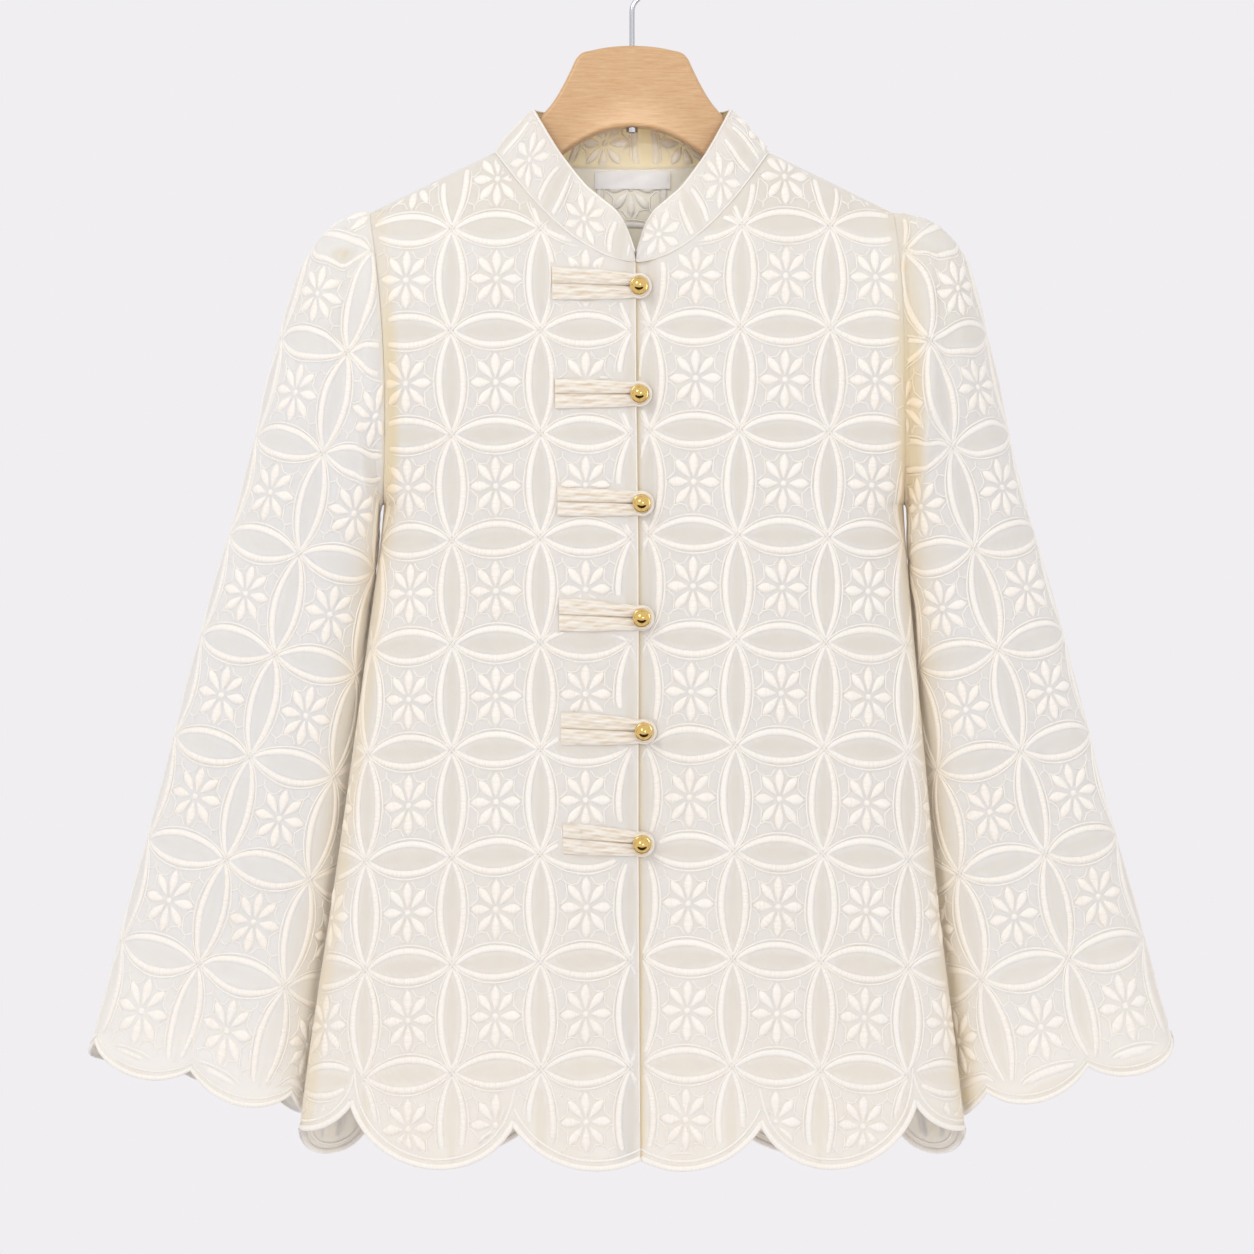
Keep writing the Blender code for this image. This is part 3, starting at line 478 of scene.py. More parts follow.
@dataclass(frozen=True)
class ThreadFinish:
    """Satin stitching: white thread laid side by side across each band."""

    name: str = "satin_thread"
    thread: Colour = (253, 249, 240)
    shade: Colour = (245, 237, 224)
    # Painted shade: the warm colour that stands in for shade on stitching in grooves and inside the
    # neck.
    seam: Colour = (246, 229, 197)
    pitch: float = 0.0009

    def make(self) -> Material:
        """The material. Tint red varies from one element to the next; tint green is painted warm
        shade, taken from the cloth below.
        """
        sketch = ShaderSketch(self.name)
        vary, seam, _ = sketch.tint()
        uv = sketch.uv()
        split = sketch.add("ShaderNodeSeparateXYZ", {0: uv})
        wobble = sketch.math("MULTIPLY", sketch.noise(uv, 420.0, 1.0), 3.0)
        along = sketch.math("MULTIPLY", split.outputs[1], 2 * pi / self.pitch)
        stitch = sketch.math("SINE", sketch.math("ADD", along, wobble))
        rough = sketch.noise(uv, 900.0, 2.0)
        height = sketch.math("ADD", sketch.math("MULTIPLY", stitch, 0.4), rough)
        flat = sketch.math("MULTIPLY", split.outputs[0], 0.15)
        lanes = sketch.add("ShaderNodeCombineXYZ", {0: flat, 1: split.outputs[1]}).outputs[0]
        streak = sketch.math("SUBTRACT", sketch.noise(lanes, 700.0, 2.0), 0.36)
        streak = sketch.math("MULTIPLY", streak, 2.4)
        share = sketch.math("MULTIPLY", sketch.math("ADD", vary, 0.3), streak)
        base = sketch.mix(share, linear(self.thread), linear(self.shade))
        sketch.dress(
            # Painted warm shade where tint green says so.
            Base_Color=sketch.mix(seam, base, linear(self.seam)),
            Roughness=0.55,
            Normal=sketch.bump(height, 0.0003, 0.6),
            Sheen_Weight=0.12,
            Sheen_Roughness=0.4,
            Subsurface_Weight=0.15,
            Subsurface_Radius=(1.0, 0.9, 0.75),
            Subsurface_Scale=0.001,
        )
        return sketch.material


@dataclass(frozen=True)
class WoodFinish:
    """Light varnished beech with fine grain along the arms."""

    name: str = "varnished_beech"
    light: Colour = (217, 181, 135)
    dark: Colour = (199, 153, 106)
    dark_at: float = 0.30
    light_at: float = 0.72
    grain_scale: float = 80.0
    grain_turn: float = -24.0

    def make(self) -> Material:
        """The material: stretched noise for the grain and short dark flecks."""
        sketch = ShaderSketch(self.name)
        turned = {"Rotation": (0, radians(self.grain_turn), 0), "Scale": (0.9, 6, 9)}
        along = sketch.add("ShaderNodeMapping", {"Vector": sketch.place(), **turned}).outputs[0]
        grain = sketch.noise(along, self.grain_scale, 5.0)
        streak = sketch.noise(along, self.grain_scale * 4, 3.0)
        coarse = sketch.math("MULTIPLY", grain, 0.75)
        share = sketch.math("ADD", coarse, sketch.math("MULTIPLY", streak, 0.3))
        ramp = sketch.add("ShaderNodeValToRGB", {0: share})
        stops = (self.dark_at, self.dark), (self.light_at, self.light)
        for stop, (position, colour) in zip(ramp.color_ramp.elements, stops):
            stop.position, stop.color = position, linear(colour)
        sketch.dress(
            Base_Color=ramp.outputs[0],
            Roughness=sketch.math("ADD", sketch.math("MULTIPLY", streak, 0.15), 0.32),
            Normal=sketch.bump(streak, 0.0003, 0.25),
            Coat_Weight=0.25,
            Coat_Roughness=0.2,
        )
        return sketch.material


@dataclass(frozen=True)
class MetalFinish:
    """Polished or brushed metal with a little unevenness."""

    name: str
    colour: Colour
    roughness: float
    grain: float = 300.0

    def make(self) -> Material:
        """The material: fine noise moves its roughness and its surface."""
        sketch = ShaderSketch(self.name)
        place = sketch.place()
        fine = sketch.noise(place, self.grain, 3.0)
        sketch.dress(
            Base_Color=linear(self.colour),
            Metallic=1.0,
            Roughness=sketch.math("ADD", sketch.math("MULTIPLY", fine, 0.08), self.roughness),
            Normal=sketch.bump(fine, 0.00004, 0.2),
        )
        return sketch.material


@dataclass(frozen=True)
class LabelFinish:
    """The label's smooth off-white satin."""

    name: str = "label_satin"
    colour: Colour = (253, 252, 251)
    cloud: Colour = (246, 244, 242)
    weft: float = 0.0005

    def make(self) -> Material:
        """The material: fine ribs across and a soft shine."""
        sketch = ShaderSketch(self.name)
        uv = sketch.uv()
        split = sketch.add("ShaderNodeSeparateXYZ", {0: uv})
        ribs = sketch.math("SINE", sketch.math("MULTIPLY", split.outputs[1], 2 * pi / self.weft))
        cloud = sketch.noise(uv, 200.0, 2.0)
        sketch.dress(
            Base_Color=sketch.mix(cloud, linear(self.colour), linear(self.cloud)),
            Roughness=0.42,
            Normal=sketch.bump(ribs, 0.0001, 0.3),
            Sheen_Weight=0.2,
        )
        return sketch.material


# The blouse's surfaces


@dataclass(frozen=True)
class BodyShape:
    """Sizes of the blouse's body and the surfaces that its panels lie on."""

    seam_gap: float = 0.00008
    neck_half: float = 0.0935
    neck_side_drop: float = 0.152
    neck_front_drop: float = 0.230
    neck_back_drop: float = 0.160
    neck_front_power: float = 1.85
    neck_back_power: int = 3
    neck_lean: float = 0.003
    shoulder_slope: float = 0.488
    tip_half: float = 0.1775
    tip_drop: float = 0.193
    shoulder_turn: float = 0.115
    underarm_drop: float = 0.391
    armhole_deep: float = 0.037
    side_round: float = 2.6
    shoulder_round: float = 9.0
    side_turn: float = 2.2
    hem_wave: float = 0.0030
    waist_drop: float = 0.430
    wave_full_drop: float = 0.840
    wave_radians: float = 9.0
    wave_shift: float = 1.2
    outline: Table = Table(
        ("drop", "half", "lean", "front", "back"),
        (
            (0.100, 0.1775, 0.0000, 0.036, 0.036),
            (0.193, 0.1775, 0.0000, 0.038, 0.038),
            (0.230, 0.1762, 0.0040, 0.038, 0.039),
            (0.270, 0.1750, 0.0070, 0.039, 0.041),
            (0.320, 0.1745, 0.0085, 0.041, 0.042),
            (0.391, 0.1765, 0.0080, 0.043, 0.042),
            (0.477, 0.1850, 0.0062, 0.044, 0.042),
            (0.570, 0.1955, 0.0042, 0.045, 0.042),
            (0.660, 0.2060, 0.0020, 0.046, 0.043),
            (0.764, 0.2200, 0.0005, 0.048, 0.045),
            (0.850, 0.2300, 0.0000, 0.050, 0.047),
        ),
    )
    edge: Table = Table(
        ("drop", "x"),
        (
            (0.215, 0.0023),
            (0.250, 0.0025),
            (0.320, 0.0029),
            (0.400, 0.0040),
            (0.640, 0.0044),
            (0.850, 0.0056),
        ),
    )

    def side_x(self, side: Side, drop: Array) -> Array:
        """Sideways place of the armhole and the side seam."""
        return self.outline.read("lean", drop) + side.value * self.outline.read("half", drop)

    def shoulder_drop(self, x: Array) -> Array:
        """Drop of the shoulder seam's line, which a parabola carries on over the neck."""
        away = np.abs(x)
        crest = (away**2 / self.neck_half - self.neck_half) / 2
        rise = np.where(away < self.neck_half, crest, away - self.neck_half)
        return self.neck_side_drop + rise * self.shoulder_slope

    def neck_drop(self, x: Array, facing: Facing) -> Array:
        """Drop of the neckline: a power of the share of the way to the side of the neck."""
        if facing is Facing.FRONT:
            middle = self.neck_lean * (1 - np.abs(x) / self.neck_half)
            share = np.clip(np.abs(x - middle) / self.neck_half, 0, 1)
            fall = self.neck_front_drop - self.neck_side_drop
            return self.neck_front_drop - fall * share**self.neck_front_power
        share = np.clip(np.abs(x) / self.neck_half, 0, 1)
        fall = self.neck_back_drop - self.neck_side_drop
        return self.neck_back_drop - fall * share**self.neck_back_power

    def top_drop(self, x: Array, facing: Facing) -> Array:
        """Drop of a panel's top edge: the neckline, then the shoulder seam."""
        inside = np.abs(x) < self.neck_half
        return np.where(inside, self.neck_drop(x, facing), self.shoulder_drop(x))

    def armhole_depth(self, drop: Array) -> Array:
        """Depth of the armhole's oval at a drop, nought outside it."""
        middle = (self.tip_drop + self.underarm_drop) / 2
        half = (self.underarm_drop - self.tip_drop) / 2
        return self.armhole_deep * np.sqrt(np.clip(1 - ((drop - middle) / half) ** 2, 0, 1))

    def depth(self, x: Array, drop: Array, facing: Facing) -> Array:
        """How far a panel's outer face stands from the middle plane.

        A superellipse across, from the armhole's oval or the side seam to the full depth,
        which a quarter ellipse lets grow from nothing at the shoulder seam. Soft waves grow
        towards the hem.
        """
        half = self.outline.read("half", drop)
        share = np.clip(np.abs(x - self.outline.read("lean", drop)) / half, 0, 1)
        below = np.clip((drop - self.shoulder_drop(x)) / self.shoulder_turn, 0, 1)
        name = "front" if facing is Facing.FRONT else "back"
        full = self.outline.read(name, drop) * np.sqrt(1 - (1 - below) ** 2)
        reach = self.underarm_drop - self.neck_side_drop
        lower = np.clip((drop - self.neck_side_drop) / reach, 0, 1)
        power = self.shoulder_round + (self.side_round - self.shoulder_round) * lower * (2 - lower)
        swell = (1 - share**power) ** (1 / self.side_turn)
        soft = self.armhole_deep * (1 - smooth_step(0.300, 0.450, drop))
        soft = np.minimum(soft, self.armhole_depth(np.minimum(drop, 0.300)))
        rim = soft + (self.armhole_depth(drop) - soft) * smooth_step(0.86, 1.0, share)
        grown = np.clip((drop - self.waist_drop) / (self.wave_full_drop - self.waist_drop), 0, 1)
        turn = share * self.wave_radians + self.wave_shift * facing.value
        return rim + (full - rim) * swell + self.hem_wave * grown * np.sin(turn) * swell


@dataclass(frozen=True)
class Hem:
    """A scalloped hem: each scallop is an arc between two notches."""

    width: float
    scallops: Table

    def marks(self) -> Array:
        """Shares of the width that the notches fall on."""
        ends = np.asarray(self.scallops.rows)[:, 0]
        return np.unique(np.clip(np.append(ends, 1.0), 0, 1))

    def drop(self, share: Array, inset: float = 0.0) -> Array:
        """Drop of the hem, or of a line that lies inset above it, at a share of the width."""
        found = np.zeros_like(share)
        for start, end, first, last, sag in self.scallops.rows:
            t = (share - start) / (end - start)
            height = first + (last - first) * t
            height = height + arc_height(t, (end - start) * self.width, sag, inset)
            found = np.where((share >= start) & (share <= end), height, found)
        return found


HEM_COLUMNS = ("start", "end", "start_drop", "end_drop", "sag")
FRONT_HEM = Hem(
    0.2265,
    Table(
        HEM_COLUMNS,
        (
            (-0.080, 0.367, 0.8163, 0.8083, 0.0250),
            (0.367, 0.850, 0.8083, 0.7969, 0.0345),
            (0.850, 1.150, 0.7969, 0.7969, 0.0185),
        ),
    ),
)
BACK_HEM = Hem(
    0.4530,
    Table(
        HEM_COLUMNS,
        (
            (-0.002, 0.104, 0.8150, 0.8080, 0.0240),
            (0.104, 0.368, 0.8080, 0.8070, 0.0320),
            (0.368, 0.632, 0.8070, 0.8070, 0.0320),
            (0.632, 0.896, 0.8070, 0.8080, 0.0320),
            (0.896, 1.002, 0.8080, 0.8150, 0.0240),
        ),
    ),
)


@dataclass(frozen=True)
class Crease:
    """A soft trough (depth above nought) or ridge along a line on a surface."""

    start: Pair
    end: Pair
    width: float
    depth: float

    def press(self, a: Array, b: Array) -> Array:
        """Depth of the crease: a bell across its line that fades at both ends."""
        x0, y0 = self.start
        dx, dy = self.end[0] - x0, self.end[1] - y0
        length = hypot(dx, dy)
        along = ((a - x0) * dx + (b - y0) * dy) / length**2
        across = ((a - x0) * dy - (b - y0) * dx) / length
        fade = smooth_step(-0.12, 0.22, along) * (1 - smooth_step(0.68, 1.12, along))
        return self.depth * fade * np.exp(-((across / self.width) ** 2) / 2)


@dataclass(frozen=True)
class ArmholeShade:
    """The warm shade in the groove between a front and its sleeve's bulging edge."""

    side: Side
    offset: float
    width: float
    knot: Pair
    knot_size: Pair

    def painted_shade(self, body: "BodyShape", x: Array, drop: Array) -> Array:
        """A flat-topped bell about the groove's line and a spot at the tuck above it."""
        line = body.side_x(self.side, drop) - self.side.value * self.offset
        bell = np.exp(-np.abs((x - line) / self.width) ** 3)
        high = smooth_step(0.220, 0.310, drop)
        low = 1 - 0.5 * smooth_step(0.37, 0.42, drop)
        across = (x - self.knot[0]) / self.knot_size[0]
        down = (drop - self.knot[1]) / self.knot_size[1]
        return np.maximum(bell * (0.35 + 0.65 * high) * low, 0.8 * np.exp(-(across**2) - down**2))


ARMHOLE_SHADE = {
    Side.LEFT: ArmholeShade(Side.LEFT, 0.0042, 0.0056, (-0.1945, 0.2225), (0.0060, 0.0030)),
    Side.RIGHT: ArmholeShade(Side.RIGHT, -0.0030, 0.0092, (0.1830, 0.2320), (0.0055, 0.0070)),
}


class Surface:
    """A cloth surface with flat pattern coordinates: p across and q down, both in metres."""

    extent: tuple[float, ...]

    def place(self, p: Array, q: Array, height: Array) -> Array:
        """Points that stand height above the cloth at pattern places."""
        raise NotImplementedError

    def inside(self, p: Array, q: Array) -> Array:
        """Whether pattern places lie on the visible cloth inside its borders."""
        raise NotImplementedError

    def painted_shade(self, points: Array) -> Array:
        """How warm the cloth's shade is at its points, nought to one."""
        return np.zeros(points.shape[:-1])


def raised(
    spot: Spot, a: Array, b: Array, height: Array, outwards: Outwards, step: float = 0.0006
) -> Array:
    """Points moved along a surface's normal, from its two central differences.

    Args:
        spot: the surface, a function of two parameters.
        a: first parameter.
        b: second parameter.
        height: how far out.
        outwards: a function of the normals and points that gives +1 or -1 as they point.
        step: of the differences, in parameters.

    Returns:
        The moved points.
    """
    centre = spot(a, b)
    across = spot(a + step, b) - spot(a - step, b)
    down = spot(a, b + step) - spot(a, b - step)
    way = unit(np.cross(down, across))
    return centre + way * (outwards(way, centre) * height)[..., None]


@dataclass
class Panel(Surface):
    """A front or the back: its place is given by x and drop, its pattern by p and drop.

    The back has no side. Creases are placed by x and drop. The right front runs on under the
    left one by under_width, under_depth deeper.
    """

    shape: BodyShape
    facing: Facing
    side: Side | None
    hem: Hem
    creases: Sequence[Crease]
    border: float = 0.0085
    margin: float = 0.0008
    front_clear: float = 0.0012
    back_clear: float = 0.0034
    loop_margin: float = 0.0006
    loop_eye: float = 0.0080
    under_depth: float = 0.0021
    under_width: float = 0.016
    pucker: float = 0.00035
    widest: float = 0.235
    reach: float = 0.262
    first_drop: float = 0.150
    last_drop: float = 0.850

    def __post_init__(self) -> None:
        """Unrolls the panel."""
        self.unroll()

    def ends(self, drop: Array) -> tuple[Array, Array]:
        """Sideways places of the two long edges."""
        gap = self.shape.seam_gap / 2
        if self.side is None:
            left = self.shape.side_x(Side.LEFT, drop) + gap
            return left, self.shape.side_x(Side.RIGHT, drop) - gap
        inner = self.shape.edge.read("x", drop)
        return inner, self.shape.side_x(self.side, drop) - self.side.value * gap

    def deeper(self, x: Array, drop: Array) -> Array:
        """How much deeper the right front lies where it runs under the left one."""
        if self.side is not Side.RIGHT:
            return np.zeros_like(x)
        first, last = self.ends(drop)
        share = (x - first) / (last - first)
        return self.under_depth * (1 - smooth_step(0.035, 0.090, share))

    def spot(self, x: Array, drop: Array) -> Array:
        """A point of the outer face, with its creases pressed in."""
        depth = self.shape.depth(x, drop, self.facing) - self.deeper(x, drop)
        below = smooth_step(0.0, 0.030, drop - self.shape.shoulder_drop(x))
        half = self.shape.outline.read("half", drop)
        share = np.abs(x - self.shape.outline.read("lean", drop)) / half
        hold = below * (1 - smooth_step(0.90, 1.0, share))
        press = sum((crease.press(x, drop) for crease in self.creases), np.zeros_like(x))
        pucker = self.pucker * ripple(x / 0.019, drop / 0.023, 1.3 + self.facing.value)
        depth = np.maximum(depth - (press - pucker) * hold, self.shape.seam_gap / 2)
        return np.stack([x, self.facing.value * depth, -drop], axis=-1)

    def raise_from(self, x: Array, drop: Array, height: Array) -> Array:
        """Points that stand height above the outer face at x and drop."""

        def outwards(way: Array, _: Array) -> Array:
            """To the panel's own side of the middle plane."""
            return np.where(way[..., 1] * self.facing.value < 0, -1.0, 1.0)

        return raised(self.spot, x, drop, height, outwards)

    def unroll(self) -> None:
        """Tabulates x over p and drop: p is the distance across the cloth from x = 0."""
        self.drops = np.linspace(self.first_drop, self.last_drop, 220)
        x = np.linspace(-self.widest, self.widest, 900)
        depth = self.shape.depth(x[None], self.drops[:, None], self.facing)
        steps = np.hypot(np.diff(x)[None], np.diff(depth, axis=1))
        along = np.concatenate([np.zeros((len(self.drops), 1)), np.cumsum(steps, axis=1)], axis=1)
        middle = np.abs(x).argmin()
        along -= along[:, middle : middle + 1]
        self.across = np.linspace(-self.reach, self.reach, 420)
        rows = [np.interp(self.across, row, x) for row in along]
        self.x_table = np.stack(rows)
        self.x_knots, self.p_table = x, along
        self.extent = (-self.reach, self.reach, self.first_drop, self.last_drop)

    def x_at(self, p: Array, drop: Array) -> Array:
        """Sideways place of a pattern place."""
        return bilinear(self.x_table, self.drops, self.across, drop, p)

    def p_at(self, x: Array, drop: Array) -> Array:
        """Pattern place across of a sideways place."""
        return bilinear(self.p_table, self.drops, self.x_knots, drop, x)

    def painted_shade(self, points: Array) -> Array:
        """How warm the shade lies: at the armholes, the side seams and under the closing."""
        x, drop = points[..., 0], -points[..., 2]
        # The back takes a faint even painted warm shade everywhere.
        if self.facing is Facing.BACK:
            return np.full(x.shape, 0.06)
        warm = ARMHOLE_SHADE[self.side].painted_shade(self.shape, x, drop)
        # Painted shadow under the left front's edge along the closing.
        if self.side is Side.RIGHT:
            under = (x - self.shape.edge.read("x", drop)) / 0.0024
            warm = np.maximum(warm, 0.95 * np.exp(-np.clip(under, 0, None) ** 2))
        return warm

    def covered(self, x: Array, drop: Array) -> Array:
        """Whether places of a front lie under one of the loops."""
        hidden = np.zeros(x.shape, dtype=bool)
        if self.facing is Facing.BACK:
            return hidden
        for spec in FASTENINGS:
            slant = np.clip((spec.x - x) / (spec.x - spec.far_x), 0, 1)
            away = np.abs(drop - spec.drop - (spec.far_drop - spec.drop) * slant)
            leg = (x > spec.far_x) & (x < spec.x) & (away < spec.height / 2 - self.loop_margin)
            hidden |= leg | (np.hypot(x - spec.x, away) < self.loop_eye)
        return hidden

    def place(self, p: Array, q: Array, height: Array) -> Array:
        """Points above the cloth at pattern places."""
        return self.raise_from(self.x_at(p, q), q, height)

    def inside(self, p: Array, q: Array) -> Array:
        """Whether pattern places lie between the edges, below the top and above the border."""
        x = self.x_at(p, q)
        first, last = self.ends(q)
        low, high = np.minimum(first, last), np.maximum(first, last)
        share = (x - first) / (last - first)
        bottom = self.hem.drop(np.clip(share, 0, 1), self.border)
        top = self.shape.top_drop(x, self.facing)
        clear = self.front_clear if self.facing is Facing.FRONT else self.back_clear
        kept = (x > low + self.margin) & (x < high - self.margin)
        kept &= (q > top + clear) & (q < bottom) & (np.abs(p) < self.reach - 0.0005)
        return kept & ~self.covered(x, q)

    def grid(self, columns: int, rows: int) -> tuple[Array, Array]:
        """x and drop of an even grid whose columns fall on the hem's notches."""
        share = np.unique(np.concatenate([np.linspace(0, 1, columns), self.hem.marks()]))
        if self.side is Side.RIGHT:
            under = -self.under_width / (self.shape.tip_half * 1.25)
            share = np.concatenate([np.linspace(under, 0, 6)[:-1], share])
        start, end = self.ends(np.array(self.shape.neck_front_drop))
        if self.side is None:
            end = self.shape.tip_half - self.shape.seam_gap / 2
            start = -end
        else:
            end = self.side.value * (self.shape.tip_half - self.shape.seam_gap / 2)
        x_top = start + (end - start) * share
        top = self.shape.top_drop(x_top, self.facing)
        bottom = self.hem.drop(np.abs(share), 0.0)
        run = np.linspace(0, 1, rows)[:, None]
        run = 0.25 * run**2.2 + 0.75 * run
        drop = top + (bottom - top) * run
        first, last = self.ends(drop)
        x = first + (last - first) * share
        outermost = np.abs(x_top) / np.abs(x_top).max()
        blend = np.clip((drop - drop[0]) / 0.040 + outermost**30, 0, 1)
        return x_top + (x - x_top) * blend, drop


@dataclass(frozen=True)
class SleeveShape:
    """Sizes of a sleeve: its rings from the armhole to the cuff, its tucks and its cuff."""

    rings: Table = Table(
        ("ring", "out_x", "out_drop", "in_drop", "clear", "depth", "back", "square"),
        (
            (1, 0.1850, 0.1938, 0.3925, 0.0020, 0.0345, 0.000, 2.05),
            (2, 0.1950, 0.1970, 0.3950, 0.0030, 0.0350, 0.000, 2.10),
            (3, 0.2060, 0.2045, 0.3990, 0.0030, 0.0385, 0.001, 2.15),
            (4, 0.2155, 0.2160, 0.4040, 0.0028, 0.0415, 0.002, 2.20),
            (5, 0.2250, 0.2330, 0.4110, 0.0022, 0.0420, 0.004, 2.20),
            (6, 0.2335, 0.2555, 0.4200, 0.0016, 0.0415, 0.006, 2.25),
            (7, 0.2415, 0.2830, 0.4310, 0.0012, 0.0400, 0.008, 2.30),
            (8, 0.2510, 0.3190, 0.4450, 0.0008, 0.0380, 0.010, 2.30),
            (9, 0.2610, 0.3600, 0.4640, 0.0004, 0.0355, 0.012, 2.30),
            (10, 0.2740, 0.4080, 0.4900, 0.0002, 0.0330, 0.014, 2.30),
            (11, 0.2910, 0.4640, 0.5260, 0.0001, 0.0310, 0.015, 2.30),
            (12, 0.3090, 0.5340, 0.5830, 0.0000, 0.0295, 0.016, 2.30),
            (13, 0.3260, 0.6000, 0.6430, 0.0000, 0.0290, 0.016, 2.30),
            (14, 0.3430, 0.6600, 0.7000, 0.0000, 0.0295, 0.016, 2.30),
            (15, 0.3560, 0.7120, 0.7500, 0.0000, 0.0305, 0.016, 2.30),
            (16, 0.3655, 0.7425, 0.7810, 0.0000, 0.0315, 0.016, 2.30),
            (17, 0.3695, 0.7560, 0.7945, 0.0000, 0.0320, 0.016, 2.30),
        ),
    )
    last: float = 17.0
    puff_ring: float = 4.6
    puff_width: float = 1.7
    puff_share: float = 0.7
    cuff_rings: float = 4.0
    cuff_sag: float = 0.0145
    scallops: int = 5
    ring_points: int = 35
    wave: float = 0.0028
    wave_start: float = 8.0
    waves: int = 3
    wave_shift: float = 0.8
    tuck_ring: float = 1.5
    tuck_fade: float = 2.6
    tucks: tuple[tuple[float, float, float], ...] = (
        (24.0, 0.0022, 8.0),
        (46.0, 0.0020, 9.0),
        (-24.0, 0.0030, 8.0),
        (-46.0, 0.0035, 9.0),
    )


@dataclass
class Sleeve(Surface):
    """A sleeve: its place is given by a ring number and an angle, nought at the outer point.

    Creases of each face are placed by |x| and drop.
    """

    PUFFS = {Side.LEFT: 0.0010, Side.RIGHT: 0.0060}
    FIRST_NOTCH = {Side.LEFT: 8, Side.RIGHT: 7}
    LEANS = {Side.LEFT: 2.0, Side.RIGHT: 2.4}

    body: BodyShape
    sizes: SleeveShape
    side: Side
    creases: dict[Facing, Sequence[Crease]]
    cuff_line: Pair = (14.0, 17.0)
    arm_line: Pair = (6.0, 15.0)
    elbow_ring: float = 7.0
    border_rings: float = 0.60
    seam_turn: float = 179.2
    first_ring: float = 0.02
    ring_count: int = 240
    turn_count: int = 361
    front_turns: tuple[int, int] = (95, 266)
    half_p: float = 0.20
    first_q: float = -0.10
    last_q: float = 0.62

    def __post_init__(self) -> None:
        """Measures the cuff and unrolls the sleeve."""
        self.girth_table()
        self.axis = unit(self.centre(self.cuff_line[1]) - self.centre(self.cuff_line[0]))
        self.unroll()

    def centre(self, ring: float) -> Array:
        """Middle of a ring."""
        points = self.tube(np.full(24, ring), np.linspace(0, 2 * pi, 24, endpoint=False))
        return points.mean(axis=0)

    def tube(self, ring: Array, angle: Array) -> Array:
        """A point of the sleeve without its scallops and creases.

        A ring is a superellipse in the plane of Y and the line from its outer to its inner
        point; the first one is the armhole's oval, and the two are mixed up to ring one.
        """
        sizes, read = self.sizes, self.sizes.rings.read
        cosine, sine = np.cos(angle), np.sin(angle)
        puff = np.exp(-(((ring - sizes.puff_ring) / sizes.puff_width) ** 2) / 2)
        swell = self.PUFFS[self.side] * puff * sizes.puff_share
        out_x, out_drop = read("out_x", ring) + swell, read("out_drop", ring) - swell
        in_drop = read("in_drop", ring)
        in_x = np.abs(self.body.side_x(self.side, in_drop)) + read("clear", ring)
        power = 2 / read("square", ring)
        along = np.sign(cosine) * np.abs(cosine) ** power
        across = np.sign(sine) * np.abs(sine) ** power
        late = np.clip((ring - sizes.wave_start) / (sizes.last - sizes.wave_start), 0, 1)
        depth = read("depth", ring)
        swing = late * sizes.wave / depth
        across = across * (1 + swing * np.sin(sizes.waves * angle + sizes.wave_shift))
        x = self.side.value * ((out_x + in_x) / 2 + along * (out_x - in_x) / 2)
        drop = (out_drop + in_drop) / 2 + along * (out_drop - in_drop) / 2
        tube = np.stack([x, read("back", ring) - depth * across, -drop], axis=-1)
        middle = (self.body.tip_drop + self.body.underarm_drop) / 2
        half = (self.body.underarm_drop - self.body.tip_drop) / 2
        oval_drop = middle - half * cosine
        oval_x = self.body.side_x(self.side, oval_drop) + self.side.value * self.body.seam_gap
        oval = np.stack([oval_x, -self.body.armhole_deep * sine, -oval_drop], axis=-1)
        mix = np.clip(ring, 0, 1)[..., None]
        return oval + (tube - oval) * mix

    def girth_table(self) -> None:
        """Tabulates the share of the cuff's girth over the angle."""
        self.angles = np.linspace(0, 2 * pi, self.turn_count)
        along = along_line(self.tube(np.full(self.turn_count, self.sizes.last), self.angles))
        self.shares, self.girth = along / along[-1], along[-1]

    def notch_angles(self) -> Array:
        """Angles of the cuff's notches."""
        steps = np.arange(self.sizes.scallops) * self.sizes.ring_points / self.sizes.scallops
        share = (steps + self.FIRST_NOTCH[self.side] + 0.5) / self.sizes.ring_points % 1
        return np.interp(share, self.shares, self.angles)

    def spot(self, ring: Array, angle: Array) -> Array:
        """A point of the outer face, with tucks, creases and the cuff's scallops."""
        sizes = self.sizes
        point = self.tube(ring, angle)
        turned = (np.degrees(angle) + 180) % 360 - 180
        fade = np.exp(-((ring - sizes.tuck_ring) ** 2) / (2 * sizes.tuck_fade**2))
        press = np.zeros_like(ring)
        for at, depth, width in sizes.tucks:
            press = press + depth * np.exp(-(((turned - at) / width) ** 2) / 2)
        press = press * fade * smooth_step(0.0, 0.8, ring)
        x, drop = self.side.value * point[..., 0], -point[..., 2]
        for facing, creases in self.creases.items():
            seen = smooth_step(0.0, 0.5, -facing.value * np.sin(angle))
            for crease in creases:
                press = press + crease.press(x, drop) * seen
        uneven = ripple(np.degrees(angle) / 52, ring / 1.8, 0.7)
        press = press - 0.0006 * uneven * smooth_step(0.3, 1.5, ring)
        inwards = unit(self.tube(ring, angle + pi) - point)
        point = point + inwards * press[..., None]
        steps = np.interp(angle % (2 * pi), self.angles, self.shares) * sizes.ring_points
        place = (steps - 0.5 - self.FIRST_NOTCH[self.side]) * sizes.scallops / sizes.ring_points % 1
        sag = arc_height(place, self.girth / sizes.scallops, sizes.cuff_sag)
        share = np.clip((ring - sizes.last + sizes.cuff_rings) / sizes.cuff_rings, 0, 1.2) ** 2
        return point + self.axis * (sag * share)[..., None]

    def raise_from(self, ring: Array, angle: Array, height: Array) -> Array:
        """Points that stand height above the outer face at a ring and angle."""

